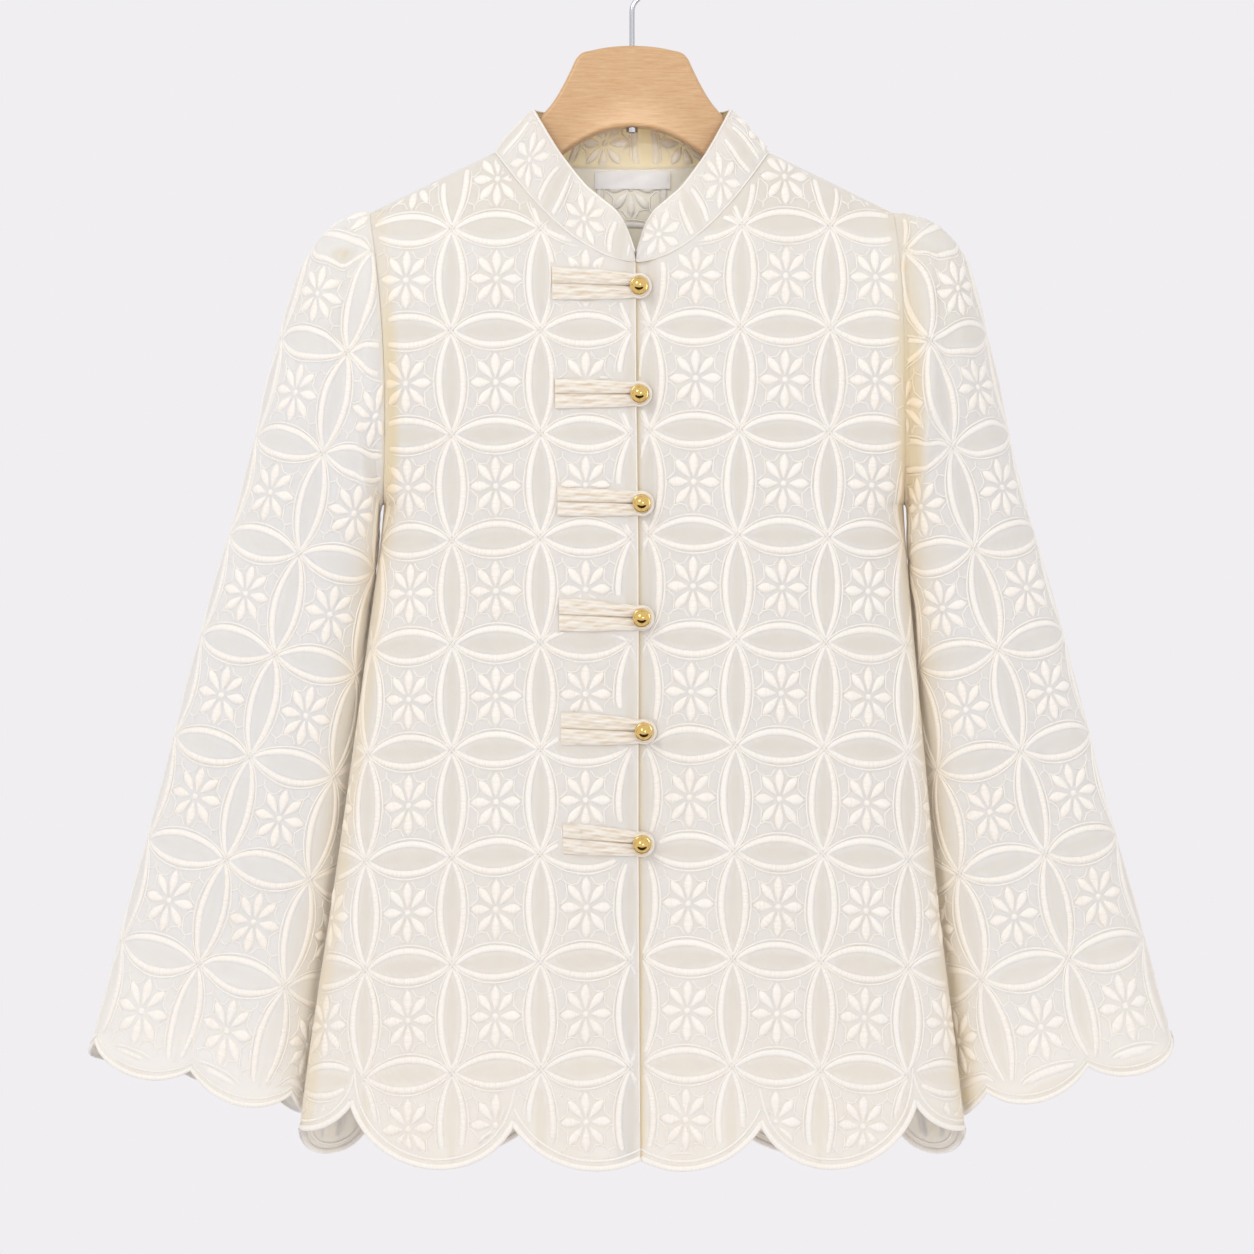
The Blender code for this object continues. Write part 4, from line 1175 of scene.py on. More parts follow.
        def outwards(way: Array, points: Array) -> Array:
            """Away from the middle of the ring."""
            middle = (self.tube(ring, angle) + self.tube(ring, angle + pi)) / 2
            return np.where(np.sum(way * (points - middle), axis=-1) < 0, -1.0, 1.0)

        ring = np.clip(ring, self.first_ring, self.sizes.last)
        return raised(self.spot, ring, angle, height, outwards, 0.01)

    def unroll(self) -> None:
        """Tabulates ring and angle over p and q.

        q is a point's distance along the sleeve's line. The points of one q form a slice of
        the tube, and p is the length along that slice from a straight line down the front.
        """
        ring = np.linspace(0, self.sizes.last, self.ring_count)
        self.turns = pi / 2 + np.linspace(-pi, pi, self.turn_count)
        grid = (self.ring_count, self.turn_count)
        points = self.tube(ring[:, None], np.broadcast_to(self.turns, grid))
        run = self.centre(self.arm_line[1]) - self.centre(self.arm_line[0])
        lean = radians(self.LEANS[self.side]) * self.side.value
        cosine, sine = cos(lean), sin(lean)
        turned = [run[0] * cosine - run[2] * sine, run[1], run[0] * sine + run[2] * cosine]
        self.line = unit(np.array(turned))
        self.top = self.centre(0.0)
        down = (points - self.top) @ self.line
        self.q = np.linspace(self.first_q, self.last_q, 360)
        rings = np.stack([np.interp(self.q, column, ring) for column in down.T], axis=1)
        slices = self.tube(rings, np.broadcast_to(self.turns, rings.shape))
        steps = np.linalg.norm(np.diff(slices, axis=1), axis=2)
        across = np.concatenate([np.zeros((len(self.q), 1)), np.cumsum(steps, axis=1)], axis=1)
        square = np.array([self.line[2], 0.0, -self.line[0]]) * self.side.value
        aside = (slices - self.top) @ square
        elbow = self.tube(np.array(self.elbow_ring), np.array(pi / 2))
        middle = float((elbow - self.top) @ square)
        front = slice(*self.front_turns)
        start = [self.meet(a[front], p[front], middle) for a, p in zip(aside, across)]
        self.across = (across - np.array(start)[:, None]) * -self.side.value
        self.p = np.linspace(-self.half_p, self.half_p, 260)
        order = slice(None, None, -self.side.value)
        places = [np.interp(self.p, p[order], r[order]) for p, r in zip(self.across, rings)]
        angles = [np.interp(self.p, p[order], self.turns[order]) for p in self.across]
        self.ring_table, self.angle_table = np.stack(places), np.stack(angles)
        self.extent = (-self.half_p, self.half_p, self.first_q, self.last_q)

    @staticmethod
    def meet(aside: Array, along: Array, middle: float) -> float:
        """Length along a slice where it meets the straight middle line, carried on flat."""
        order = np.argsort(aside)
        near = float(np.clip(middle, aside.min(), aside.max()))
        way = np.sign(along[order[-1]] - along[order[0]])
        return float(np.interp(near, aside[order], along[order]) + way * (middle - near))

    def pattern(self, angle: Array, points: Array) -> Array:
        """Pattern places of points whose angles are known."""
        q = (points - self.top) @ self.line
        turn = (angle + pi / 2) % (2 * pi) - pi / 2
        return np.stack([bilinear(self.across, self.q, self.turns, q, turn), q], axis=-1)

    def ring_angle(self, p: Array, q: Array) -> tuple[Array, Array]:
        """Ring and angle of a pattern place."""
        ring = bilinear(self.ring_table, self.q, self.p, q, p)
        return ring, bilinear(self.angle_table, self.q, self.p, q, p)

    def place(self, p: Array, q: Array, height: Array) -> Array:
        """Points above the cloth at pattern places."""
        ring, angle = self.ring_angle(p, q)
        return self.raise_from(ring, angle, height)

    def inside(self, p: Array, q: Array) -> Array:
        """Whether pattern places lie between the armhole, the cuff's border and the seam."""
        ring, angle = self.ring_angle(p, q)
        away = np.abs(angle - pi / 2)
        kept = (ring > self.first_ring) & (ring < self.sizes.last - self.border_rings)
        return kept & (away < radians(self.seam_turn))

    def painted_shade(self, points: Array) -> Array:
        """How warm the shade lies: in the groove at the armhole and along the inner side."""
        x, drop = points[..., 0], -points[..., 2]
        groove = ARMHOLE_SHADE[self.side].painted_shade(self.body, x, drop) * (points[..., 1] < 0.01)
        beyond = self.side.value * (x - self.body.side_x(self.side, drop))
        below = smooth_step(0.36, 0.42, drop) * (1 - smooth_step(0.70, 0.82, drop))
        below = below * (1 - 0.75 * smooth_step(-0.005, 0.015, points[..., 1]))
        shade = 0.5 * below * np.exp(-((beyond / 0.014) ** 2))
        return np.clip(np.maximum(groove, shade), 0, 1)


# Embroidery


@dataclass(frozen=True)
class Lattice:
    """Where the repeat's nodes fall on a surface: column c and row r give p and q."""

    p0: float
    q0: float
    across: float = 0.0602
    down: float = 0.0700
    stretch: float = 0.0
    drift: float = 0.0
    sag: float = 0.0
    sag_half: float = 0.18
    sag_rows: float = 8.0

    def sagged(self, p: Array, r: Array) -> Array:
        """How far a row hangs lower at p, growing over the first rows."""
        return self.sag * (p / self.sag_half) ** 2 * np.clip(r / self.sag_rows, 0, 1)

    def spot(self, c: Array, r: Array) -> tuple[Array, Array]:
        """Pattern place of a lattice place.

        Rows grow by stretch, columns lean by drift a row, and rows sag by the square of p.
        """
        q = self.q0 + self.down * r + self.stretch * r * r
        p = self.p0 + self.across * c + self.drift * r
        return p, q + self.sagged(p, r)

    def cell(self, p: Array, q: Array) -> tuple[Array, Array]:
        """Lattice place of a pattern place, near enough for tints."""
        r = (q - self.q0) / self.down
        q = q - self.sagged(p, r)
        r = (q - self.q0) / self.down
        if self.stretch:
            grown = self.down**2 + 4 * self.stretch * np.clip(q - self.q0, 0, None)
            r = (np.sqrt(grown) - self.down) / (2 * self.stretch)
        return (p - self.p0 - self.drift * r) / self.across, r


@dataclass(frozen=True)
class Stitches:
    """Sizes of one repeat of the embroidery, in metres from the flower's centre."""

    half_across: float = 0.0301
    half_down: float = 0.0351
    petal_height: float = 0.0015
    band_height: float = 0.0010
    outline_height: float = 0.0007
    bar_height: float = 0.0006
    dot_radius: float = 0.0022
    dot_height: float = 0.0010
    outline_half: float = 0.00070
    bar_half: float = 0.00062
    band_end: float = 0.0023
    fullness: float = 2.6
    root: float = 0.0001
    outline_sag: Pair = (0.0134, 0.0116)
    band_sag: Pair = (0.0097, 0.0080)
    band_half: Pair = (0.00215, 0.00205)
    petals: Table = Table(
        ("degrees", "start", "end", "half"),
        (
            (0, 0.0033, 0.0170, 0.0035),
            (51, 0.0034, 0.0188, 0.0030),
            (90, 0.0030, 0.0199, 0.0031),
            (129, 0.0034, 0.0188, 0.0030),
            (180, 0.0033, 0.0170, 0.0035),
            (231, 0.0034, 0.0188, 0.0030),
            (270, 0.0030, 0.0199, 0.0031),
            (309, 0.0034, 0.0188, 0.0030),
        ),
    )
    bars: tuple[tuple[Pair, ...], ...] = (
        ((-0.0158, -0.0228), (-0.0158, -0.0189)),
        ((-0.0158, -0.0189), (-0.0203, -0.0164)),
        (
            (-0.0158, -0.0189),
            (-0.0133, -0.0161),
            (-0.0097, -0.0147),
            (-0.0058, -0.0155),
            (-0.0030, -0.0200),
        ),
        (
            (-0.0133, -0.0161),
            (-0.0127, -0.0127),
            (-0.0125, -0.0067),
            (-0.0163, -0.0027),
            (-0.0184, -0.0022),
        ),
    )

    def ribbon(self, path: Array, half: Array, height: Array, across: int, shade: float) -> Patch:
        """A raised strip along a path: across, its height is a full round arch.

        Args:
            path: points of the middle line.
            half: half width at each.
            height: height of the middle at each.
            across: points across.
            shade: its tint.

        Returns:
            The strip, its third coordinate the height above the cloth.
        """
        way = unit(np.gradient(path, axis=0))
        normal = np.stack([-way[:, 1], way[:, 0]], axis=1)
        w = np.linspace(-1, 1, across)
        flat = path[:, None] + normal[:, None] * (w[None, :, None] * half[:, None, None])
        lift = height[:, None] * arch(w, self.fullness)[None] - self.root
        along = along_line(path)[:, None]
        return strip(flat[..., 0], flat[..., 1], lift, w[None] * half[:, None], along, shade)

    def leaf(self, degrees: float, start: float, end: float, half: float) -> Patch:
        """A padded petal, widest beyond its middle."""
        s = np.linspace(0, 1, 9)
        way = np.array([cos(radians(degrees)), sin(radians(degrees))])
        path = (start + (end - start) * s)[:, None] * way
        swell = np.sin(pi * np.clip(s, 0.004, 0.996) ** 1.35)
        height = self.petal_height * swell**0.55
        return self.ribbon(path, half * swell**0.72, height, 7, 0.35 + 0.5 * (degrees % 7) / 7)

    def arc(self, upright: bool, sag: float, end: float, steps: int) -> Array:
        """Middle line of a lens side: an arc of 45 degrees each way over its chord."""
        angle = np.linspace(-1, 1, steps) * pi / 4
        reach = (self.half_down if upright else self.half_across) - end
        run = reach * np.sin(angle) / sin(pi / 4)
        rise = sag * (np.cos(angle) - cos(pi / 4)) / (1 - cos(pi / 4))
        return np.stack([rise, run] if upright else [run, rise], axis=1)

    def lens(self, upright: bool) -> list[Patch]:
        """The two satin bands and two outlines of the lens on a cell's left or upper edge."""
        index = int(upright)
        middle = np.array([-self.half_across, 0.0] if upright else [0.0, -self.half_down])
        patches = []
        for sign in (-1, 1):
            turn = np.array([sign, 1] if upright else [1, sign])
            band = middle + self.arc(upright, self.band_sag[index], self.band_end, 15) * turn
            swell = np.sin(np.linspace(0.06, pi - 0.06, 15)) ** 0.5
            half = self.band_half[index] * (0.25 + 0.75 * swell)
            patches.append(self.ribbon(band, half, self.band_height * swell, 6, 0.5 + 0.2 * sign))
            line = middle + self.arc(upright, self.outline_sag[index], 0.0, 17) * turn
            flat = np.full(17, self.outline_half)
            patches.append(self.ribbon(line, flat, np.full(17, self.outline_height), 3, 0.2))
        return patches

    def dot(self) -> Patch:
        """The knot in the flower's centre: a square grid rounded to a disc and domed."""
        u, v = np.meshgrid(np.linspace(-1, 1, 6), np.linspace(-1, 1, 6), indexing="ij")
        x = u * np.sqrt(1 - v * v / 2) * self.dot_radius
        y = v * np.sqrt(1 - u * u / 2) * self.dot_radius
        share = np.clip((x * x + y * y) / self.dot_radius**2, 0, 1)
        lift = self.dot_height * np.sqrt(1 - share) - 0.00015
        return strip(x, y, lift, x, y, 0.6)

    def repeat(self) -> Patch:
        """One whole repeat: a flower, its net bars and the lenses on two of its edges."""
        patches = [self.leaf(*row) for row in self.petals.rows]
        patches += self.lens(False) + self.lens(True) + [self.dot()]
        for flip in ((1, 1), (-1, 1), (1, -1), (-1, -1)):
            for bar in self.bars:
                path = np.array(bar) * flip
                flat = np.full(len(path), self.bar_half)
                lift = np.full(len(path), self.bar_height)
                patches.append(self.ribbon(path, flat, lift, 3, 0.1))
        return Patch.join(patches)


@dataclass
class Embroidery:
    """Stitching set on a surface, cell by cell."""

    stitches: Stitches
    lattice: Lattice
    sunk: float = 0.0002
    uneven: float = 0.0004
    uneven_height: float = 0.12
    uneven_tint: float = 0.3
    window_height: Pair = (0.78, 0.70)
    window_reach: Pair = (0.78, 0.80)
    window_edge: float = 0.55

    def cells(self, surface: Surface) -> tuple[Array, Array]:
        """Column and row of the middle of every cell that the surface reaches."""
        p_low, p_high, q_low, q_high = surface.extent
        first_c = floor((p_low - self.lattice.p0) / self.lattice.across) - 1
        last_c = ceil((p_high - self.lattice.p0) / self.lattice.across) + 2
        first_r = floor((q_low - self.lattice.q0) / self.lattice.down) - 1
        last_r = ceil((q_high - self.lattice.q0) / self.lattice.down) + 2
        c, r = np.meshgrid(np.arange(first_c, last_c), np.arange(first_r, last_r), indexing="ij")
        return c.ravel()[:, None] + 0.5, r.ravel()[:, None] + 0.5

    def cover(self, surface: Surface) -> Patch:
        """The repeat on every cell, without the faces that leave the cloth.

        Args:
            surface: the cloth it lies on.

        Returns:
            The stitching, in place.
        """
        motif = self.stitches.repeat()
        c, r = self.cells(surface)
        place_c = c + motif.points[None, :, 0] / (2 * self.stitches.half_across)
        place_r = r + motif.points[None, :, 1] / (2 * self.stitches.half_down)
        p, q = self.lattice.spot(place_c, place_r)
        p = p + self.uneven * ripple(place_c * 0.9, place_r * 0.7, 2.0)
        q = q + self.uneven * ripple(place_c * 0.8, place_r * 0.9, 5.0)
        fuller = 1 + self.uneven_height * ripple(place_c, place_r, 3.0)
        height = (motif.points[None, :, 2] * fuller).ravel()
        cells = len(c)
        moved = np.stack([0 * c, c * 0.137 + r * 0.071], axis=2)
        uv = motif.uv[None] + moved
        tint = np.broadcast_to(motif.tint, (cells, *motif.tint.shape)).copy()
        tint[..., 0] = np.clip(tint[..., 0] + self.uneven_tint * ripple(c * 1.7, r * 2.3, 1.0), 0, 1)
        starts = np.arange(cells)[:, None, None] * len(motif.points)
        quads = (motif.quads[None] + starts).reshape(-1, 4)
        kept = surface.inside(p, q).ravel()[quads].all(axis=1)
        height[np.unique(quads[~kept])] = -self.sunk
        used, quads = np.unique(quads[kept], return_inverse=True)
        quads = quads.reshape(-1, 4)
        p, q, height = p.ravel()[used], q.ravel()[used], height[used]
        points = surface.place(p, q, height)
        outer = surface.place(p, q, height + 0.001) - points
        tint = tint.reshape(-1, 4)[used]
        # Tint green: painted warm shade of the cloth below, which the stitching takes too.
        tint[:, 1] = surface.painted_shade(points)
        return facing_out(Patch(points, quads, uv.reshape(-1, 2)[used], tint), outer)

    def hollow(self, along: Array, across: Array, index: int, half: float) -> Array:
        """How far places lie inside the windows of the level or the upright lenses.

        In a lens the distance from its chord is compared with the parabola under its bands.

        Args:
            along: lattice place along the lens.
            across: lattice place across it.
            index: nought for level lenses, one for upright ones.
            half: half the repeat across the lens.

        Returns:
            Nought outside to one at the chord.
        """
        run = np.abs(np.abs(along - np.floor(along)) - 0.5) * 2
        tall = self.window_height[index] * self.stitches.band_sag[index] / (2 * half)
        rim = np.maximum(tall * (1 - (run / self.window_reach[index]) ** 2), 1e-4)
        return smooth_step(0.0, self.window_edge, 1 - np.abs(across - np.round(across)) / rim)

    def windows(self, p: Array, q: Array) -> Array:
        """How far a pattern place lies inside a lens's window, nought to one."""
        c, r = self.lattice.cell(p, q)
        level = self.hollow(c, r, 0, self.stitches.half_down)
        return np.maximum(level, self.hollow(r, c, 1, self.stitches.half_across))


@dataclass
class Reverse(Surface):
    """The inner side of a surface, where the back of its stitching shows.

    It shows down to reach and as far as half to each side.
    """

    surface: Surface
    thickness: float
    reach: float
    half: float
    # Painted warm shade on the back of the stitching, even all over.
    warm: float = 0.0

    def __post_init__(self) -> None:
        """Works out how far it is stitched."""
        p_low, p_high, q_low, q_high = self.surface.extent
        across = max(p_low, -self.half), min(p_high, self.half)
        self.extent = (*across, q_low, min(q_high, self.reach))

    def place(self, p: Array, q: Array, height: Array) -> Array:
        """Points that stand height inside the cloth at pattern places."""
        return self.surface.place(p, q, -self.thickness - height)

    def inside(self, p: Array, q: Array) -> Array:
        """Whether pattern places lie on the cloth and where its reverse can be seen."""
        p_low, p_high, _, q_high = self.extent
        return self.surface.inside(p, q) & (p > p_low) & (p < p_high) & (q < q_high)

    def painted_shade(self, points: Array) -> Array:
        """The same painted warm shade everywhere."""
        return np.full(points.shape[:-1], self.warm)


def facing_out(patch: Patch, outwards: Array) -> Patch:
    """The patch with every face turned to the side that outwards points to."""
    a, b, c, d = (patch.points[patch.quads[:, k]] for k in range(4))
    normal = np.cross(c - a, d - b)
    wrong = np.einsum("ij,ij->i", normal, outwards[patch.quads[:, 0]]) < 0
    patch.quads[wrong] = patch.quads[wrong][:, ::-1]
    return patch


def carry(patch: Patch, place: Raise) -> Patch:
    """A flat patch carried onto a surface by place(a, b, height), faces outwards."""
    a, b, height = patch.points.T
    points = place(a, b, height)
    outer = place(a, b, height + 0.001) - points
    return facing_out(Patch(points, patch.quads.copy(), patch.uv, patch.tint), outer)


# The pieces


@dataclass
class Cloths:
    """The two finishes of the cloth pieces and the sizes of their shells and borders."""

    ground: Material
    thread: Material
    stitches: Stitches = field(default_factory=Stitches)
    thickness: float = 0.0009
    cord_half: float = 0.0019
    cord_height: float = 0.0012
    line_inset: float = 0.0069
    line_half: float = 0.0009
    line_height: float = 0.0008
    rim_half: float = 0.0005
    rim_height: float = 0.0005


def border_ribbons(cloths: Cloths, path_at: Callable[[float], Array], steps: int) -> list[Patch]:
    """The outer cord and the inner line of one scallop.

    Args:
        cloths: sizes of the border.
        path_at: gives the line at an inset, as points.
        steps: points along it.

    Returns:
        The two strips, flat.
    """
    cord = path_at(cloths.cord_half)
    line = path_at(cloths.line_inset)
    ribbon = cloths.stitches.ribbon
    ends = np.minimum(1, np.minimum(np.arange(steps), np.arange(steps)[::-1]) / 2 + 0.4)
    return [
        ribbon(cord, np.full(steps, cloths.cord_half), cloths.cord_height * ends, 7, 0.3),
        ribbon(line, np.full(steps, cloths.line_half), cloths.line_height * ends, 4, 0.3),
    ]


def sew(
    cloths: Cloths, name: str, ground: Patch, stitches: Sequence[Patch]
) -> tuple[Object, Object]:
    """Makes a piece's ground cloth, in place of its solid, and the stitching on it.

    Args:
        cloths: their finishes.
        name: of the solid.
        ground: the cloth.
        stitches: parts of the stitching.

    Returns:
        The cloth and the stitching.
    """
    cloth = ride(write_mesh(f"{name}_cloth", ground, cloths.ground), [name])
    stitching = write_mesh(f"{name}_embroidery", Patch.join(stitches), cloths.thread)
    return cloth, ride(stitching)


@dataclass
class PanelPiece:
    """A front or the back with its stitching and its scalloped border.

    The inside of the back shows down to seen_drop and as far as seen_half to each side.
    """

    name: str
    panel: Panel
    lattice: Lattice
    cloths: Cloths
    columns: int
    rows: int
    flat: Pair
    area: float
    back_painted_light: float = 0.3
    seen_drop: float = 0.265
    seen_half: float = 0.085
    rim_drops: Pair = (0.2335, 0.8050)
    rim_points: int = 300
    scallop_points: int = 48

    def cloth(self) -> Patch:
        """The ground cloth: a thin shell with its columns on the hem's notches."""
        x, drop = self.panel.grid(self.columns, self.rows)
        outer = self.panel.spot(x, drop)
        inner = self.panel.raise_from(x, drop, np.full_like(x, -self.cloths.thickness))
        facing, gap = self.panel.facing.value, self.panel.shape.seam_gap / 2
        inner[..., 1] = facing * np.maximum(facing * inner[..., 1], gap)
        p = self.panel.p_at(x, drop)
        window = Embroidery(self.cloths.stitches, self.lattice).windows(p, drop)
        tint = tints(window, self.panel.painted_shade(outer))
        # Painted light: the back's inner face is painted paler than the shade inside the blouse
        # leaves it.
        pale = self.back_painted_light if self.panel.facing is Facing.BACK else 0.0
        return shell(outer, inner, np.stack([p, drop], axis=2), tint, inner_painted_light=pale)

    def border(self, inner: bool = False) -> Patch:
        """The hem's cord and line, on the outside or the inside."""
        steps, marks = self.scallop_points, self.panel.hem.marks()
        flats = []
        for start, end in zip(marks[:-1], marks[1:]):
            share = np.linspace(start + 1e-4, end - 1e-4, steps)

            def path_at(inset: float, share: Array = share) -> Array:
                """The scallop's line at an inset."""
                drop = self.panel.hem.drop(share, inset)
                first, last = self.panel.ends(drop)
                return np.stack([first + (last - first) * share, drop], axis=1)

            flats += border_ribbons(self.cloths, path_at, steps)
        flat = Patch.join(flats)
        if not inner:
            return carry(flat, self.panel.raise_from)

        def behind(x: Array, drop: Array, height: Array) -> Array:
            """Points that stand height inside the cloth."""
            return self.panel.raise_from(x, drop, -self.cloths.thickness - height)

        return carry(flat, behind)

    def closing_rim(self) -> Patch:
        """The fine bright edge that runs down the closing."""
        drop = np.linspace(*self.rim_drops, self.rim_points)
        edge = self.panel.ends(drop)[0] - self.cloths.rim_half
        lift = np.full(self.rim_points, self.cloths.rim_height)
        half = np.full(self.rim_points, self.cloths.rim_half)
        path = np.stack([edge, drop], axis=1)
        return carry(self.cloths.stitches.ribbon(path, half, lift, 5, 0.2), self.panel.raise_from)

    def build(self) -> None:
        embroidery = Embroidery(self.cloths.stitches, self.lattice)
        parts = [embroidery.cover(self.panel), self.border()]
        if self.panel.facing is Facing.BACK:
            seen = Reverse(self.panel, self.cloths.thickness, self.seen_drop, self.seen_half)
            parts += [self.border(inner=True), embroidery.cover(seen)]
        if self.panel.side is Side.LEFT:
            parts.append(self.closing_rim())
        cloth, stitching = sew(self.cloths, self.name, self.cloth(), parts)


@dataclass
class SleevePiece:
    """A sleeve with its stitching and its scalloped cuff."""

    # Painted light: each sleeve's cloth is painted paler, the left one more, as if more light fell on
    # it.
    PAINTED_LIGHT = {Side.LEFT: 0.40, Side.RIGHT: 0.15}

    name: str
    sleeve: Sleeve
    lattice: Lattice
    cloths: Cloths
    rows: int = 210
    columns: int = 150
    flat: Pair = (0.33, 0.60)
    area: float = 0.155
    root: float = 0.00015
    scallop_points: int = 26

    def cloth(self) -> Patch:
        """The ground cloth: a thin tube with its columns on the cuff's notches."""
        sleeve = self.sleeve
        angle = np.linspace(0, 2 * pi, self.columns, endpoint=False)
        angle = (angle - pi / 2) % (2 * pi) - pi / 2
        notches = (sleeve.notch_angles() + pi / 2) % (2 * pi) - pi / 2
        angle = np.unique(np.concatenate([angle, notches]))
        ring = np.linspace(0.0, sleeve.sizes.last, self.rows)
        ring, angle = np.meshgrid(ring, angle, indexing="ij")
        outer = sleeve.spot(ring, angle)
        inner = sleeve.raise_from(ring, angle, np.full_like(ring, -self.cloths.thickness))
        inner = inner + (outer - sleeve.raise_from(ring, angle, np.zeros_like(ring)))
        places = sleeve.pattern(angle, sleeve.tube(ring, angle))
        embroidery = Embroidery(self.cloths.stitches, self.lattice)
        window = embroidery.windows(places[..., 0], places[..., 1])
        # Tint green is painted warm shade, tint blue painted light.
        tint = tints(window, sleeve.painted_shade(outer), self.PAINTED_LIGHT[sleeve.side])
        return shell(outer, inner, places, tint, round_again=True)

    def border(self) -> Patch:
        """The cuff's cord and line, scallop by scallop."""
        sleeve, steps = self.sleeve, self.scallop_points
        notches = np.sort(sleeve.notch_angles())
        ends = np.append(notches, notches[0] + 2 * pi)
        near = sleeve.sizes.last - 1.0
        flats = []
        for start, end in zip(ends[:-1], ends[1:]):
            angle = np.linspace(start, end, steps)
            low = sleeve.spot(np.full(steps, sleeve.sizes.last), angle)
            length = np.linalg.norm(low - sleeve.spot(np.full(steps, near), angle), axis=1)
            for inset, half, height, across in (
                (self.cloths.cord_half, self.cloths.cord_half, self.cloths.cord_height, 7),
                (self.cloths.line_inset, self.cloths.line_half, self.cloths.line_height, 4),
            ):
                w = np.linspace(-1, 1, across)[None]
                ring = (sleeve.sizes.last - inset / length + w.T * (half / length)).T
                lift = height * arch(w) - self.root
                along = along_line(low)[:, None]
                flats.append(strip(ring, angle[:, None], lift, w * half, along, 0.3))
        return carry(Patch.join(flats), sleeve.raise_from)

    def build(self) -> None:
        cover = Embroidery(self.cloths.stitches, self.lattice).cover(self.sleeve)
        cloth, stitching = sew(self.cloths, self.name, self.cloth(), [cover, self.border()])


@dataclass
class Collar(Surface):
    """The stand collar: s is the share of its length and p, q are metres along and up it."""

    LIFT = Table(
        ("foot", "inward", "rise", "lean"),
        (
            (0.00, 0.0000, 0.0045, 0.0010),
            (0.07, 0.0025, 0.0190, 0.0060),
            (0.20, 0.0080, 0.0300, 0.0140),
            (0.37, 0.0115, 0.0335, 0.0175),
            (0.50, 0.0145, 0.0325, 0.0180),
            (0.62, 0.0165, 0.0335, 0.0155),
            (0.75, 0.0200, 0.0320, 0.0120),
            (0.87, 0.0230, 0.0315, 0.0070),
            (1.00, 0.0265, 0.0300, 0.0000),
        ),
    )

    shape: BodyShape
    back_rise: float = 0.038
    back_lean: float = 0.003
    bow: float = 0.0012
    uneven: float = 0.0005
    gap: float = 0.0001
    end_gap: float = 0.0004
    piping_share: float = 0.05
    end_margin: float = 0.003

    def __post_init__(self) -> None:
        """Tabulates the collar's foot and how its top stands over it."""
        foot, lift = self.foot_and_lift()
        along = along_line(foot)
        self.length = along[-1]
        self.s = np.linspace(0, 1, 500)
        at = self.s * self.length
        self.foot = np.stack([np.interp(at, along, foot[:, k]) for k in range(3)], axis=1)
        self.lift = np.stack([np.interp(at, along, lift[:, k]) for k in range(3)], axis=1)
        self.rise = float(np.linalg.norm(self.lift, axis=1).max())
        self.extent = (0.0, float(self.length), 0.0, self.rise)

    def foot_and_lift(self) -> tuple[Array, Array]:
        """The foot along the neckline and the lift of the top edge, left front to right front."""
        shape = self.shape
        feet, lifts = [], []
        for side in (Side.LEFT, Side.RIGHT):
            start = float(shape.edge.read("x", np.array(shape.neck_front_drop)))
            x = start + (side.value * shape.neck_half - start) * np.linspace(0, 1, 200)
            share = np.abs(x - x[0]) / abs(x[-1] - x[0])
            x[0] += side.value * self.end_gap
            drop = shape.neck_drop(x, Facing.FRONT)
            depth = np.maximum(shape.depth(x, drop, Facing.FRONT), shape.seam_gap / 2)
            feet.append(np.stack([x, -depth, -drop], axis=1))
            read = self.LIFT.read
            lift = (-side.value * read("inward", share), read("lean", share), read("rise", share))
            lifts.append(np.stack(lift, axis=1))
        x = np.linspace(-shape.neck_half, shape.neck_half, 300)[1:-1]
        drop = shape.neck_drop(x, Facing.BACK)
        back = np.stack([x, shape.depth(x, drop, Facing.BACK), -drop], axis=1)
        turn = x / shape.neck_half
        side_lift = lifts[0][-1]
        back_lift = (
            -abs(side_lift[0]) * turn,
            -self.back_lean * (1 - turn**2),
            self.back_rise + (side_lift[2] - self.back_rise) * turn**2,
        )
        foot = np.concatenate([feet[0], back, feet[1][::-1]])
        return foot, np.concatenate([lifts[0], np.stack(back_lift, axis=1), lifts[1][::-1]])

    def spot(self, s: Array, height: Array) -> Array:
        """A point of the outer face at a share of the length and a share of the height."""
        foot = np.stack([np.interp(s, self.s, self.foot[:, k]) for k in range(3)], axis=-1)
        lift = np.stack([np.interp(s, self.s, self.lift[:, k]) for k in range(3)], axis=-1)
        up = unit(lift)
        out = foot - self.foot.mean(axis=0)
        out[..., 2] = 0
        wave = self.uneven * ripple(s * 9, height * 1.4, 0.4)
        bow = (self.bow + wave) * np.sin(pi * np.clip(height, 0, 1))
        rise = (lift - up * self.gap) * height[..., None]
        return foot + up * self.gap + rise + unit(out) * bow[..., None]

    def raise_from(self, s: Array, height: Array, lift: Array) -> Array:
        """Points that stand lift outside the outer face."""

        def outwards(way: Array, points: Array) -> Array:
            """Away from the neck's middle, one sign for the whole collar."""
            out = points - self.foot.mean(axis=0)
            out[..., 2] = 0
            return np.full(way.shape[:-1], -1.0 if np.sum(way * out) < 0 else 1.0)

        return raised(self.spot, s, height, lift, outwards, 0.002)

    def own(self, p: Array, q: Array) -> tuple[Array, Array]:
        """Shares of length and height of a pattern place, q measured up from the foot."""
        s = np.clip(p / self.length, 0, 1)
        tall = np.interp(s, self.s, np.linalg.norm(self.lift, axis=1))
        return s, q / tall

    def place(self, p: Array, q: Array, height: Array) -> Array:
        """Points above the cloth at pattern places."""
        s, share = self.own(p, q)
        return self.raise_from(s, share, height)

    def inside(self, p: Array, q: Array) -> Array:
        """Whether pattern places lie between the collar's pipings."""
        s, share = self.own(p, q)
        kept = (share > self.piping_share) & (share < 1 - self.piping_share)
        return kept & (p > self.end_margin) & (p < self.length - self.end_margin)


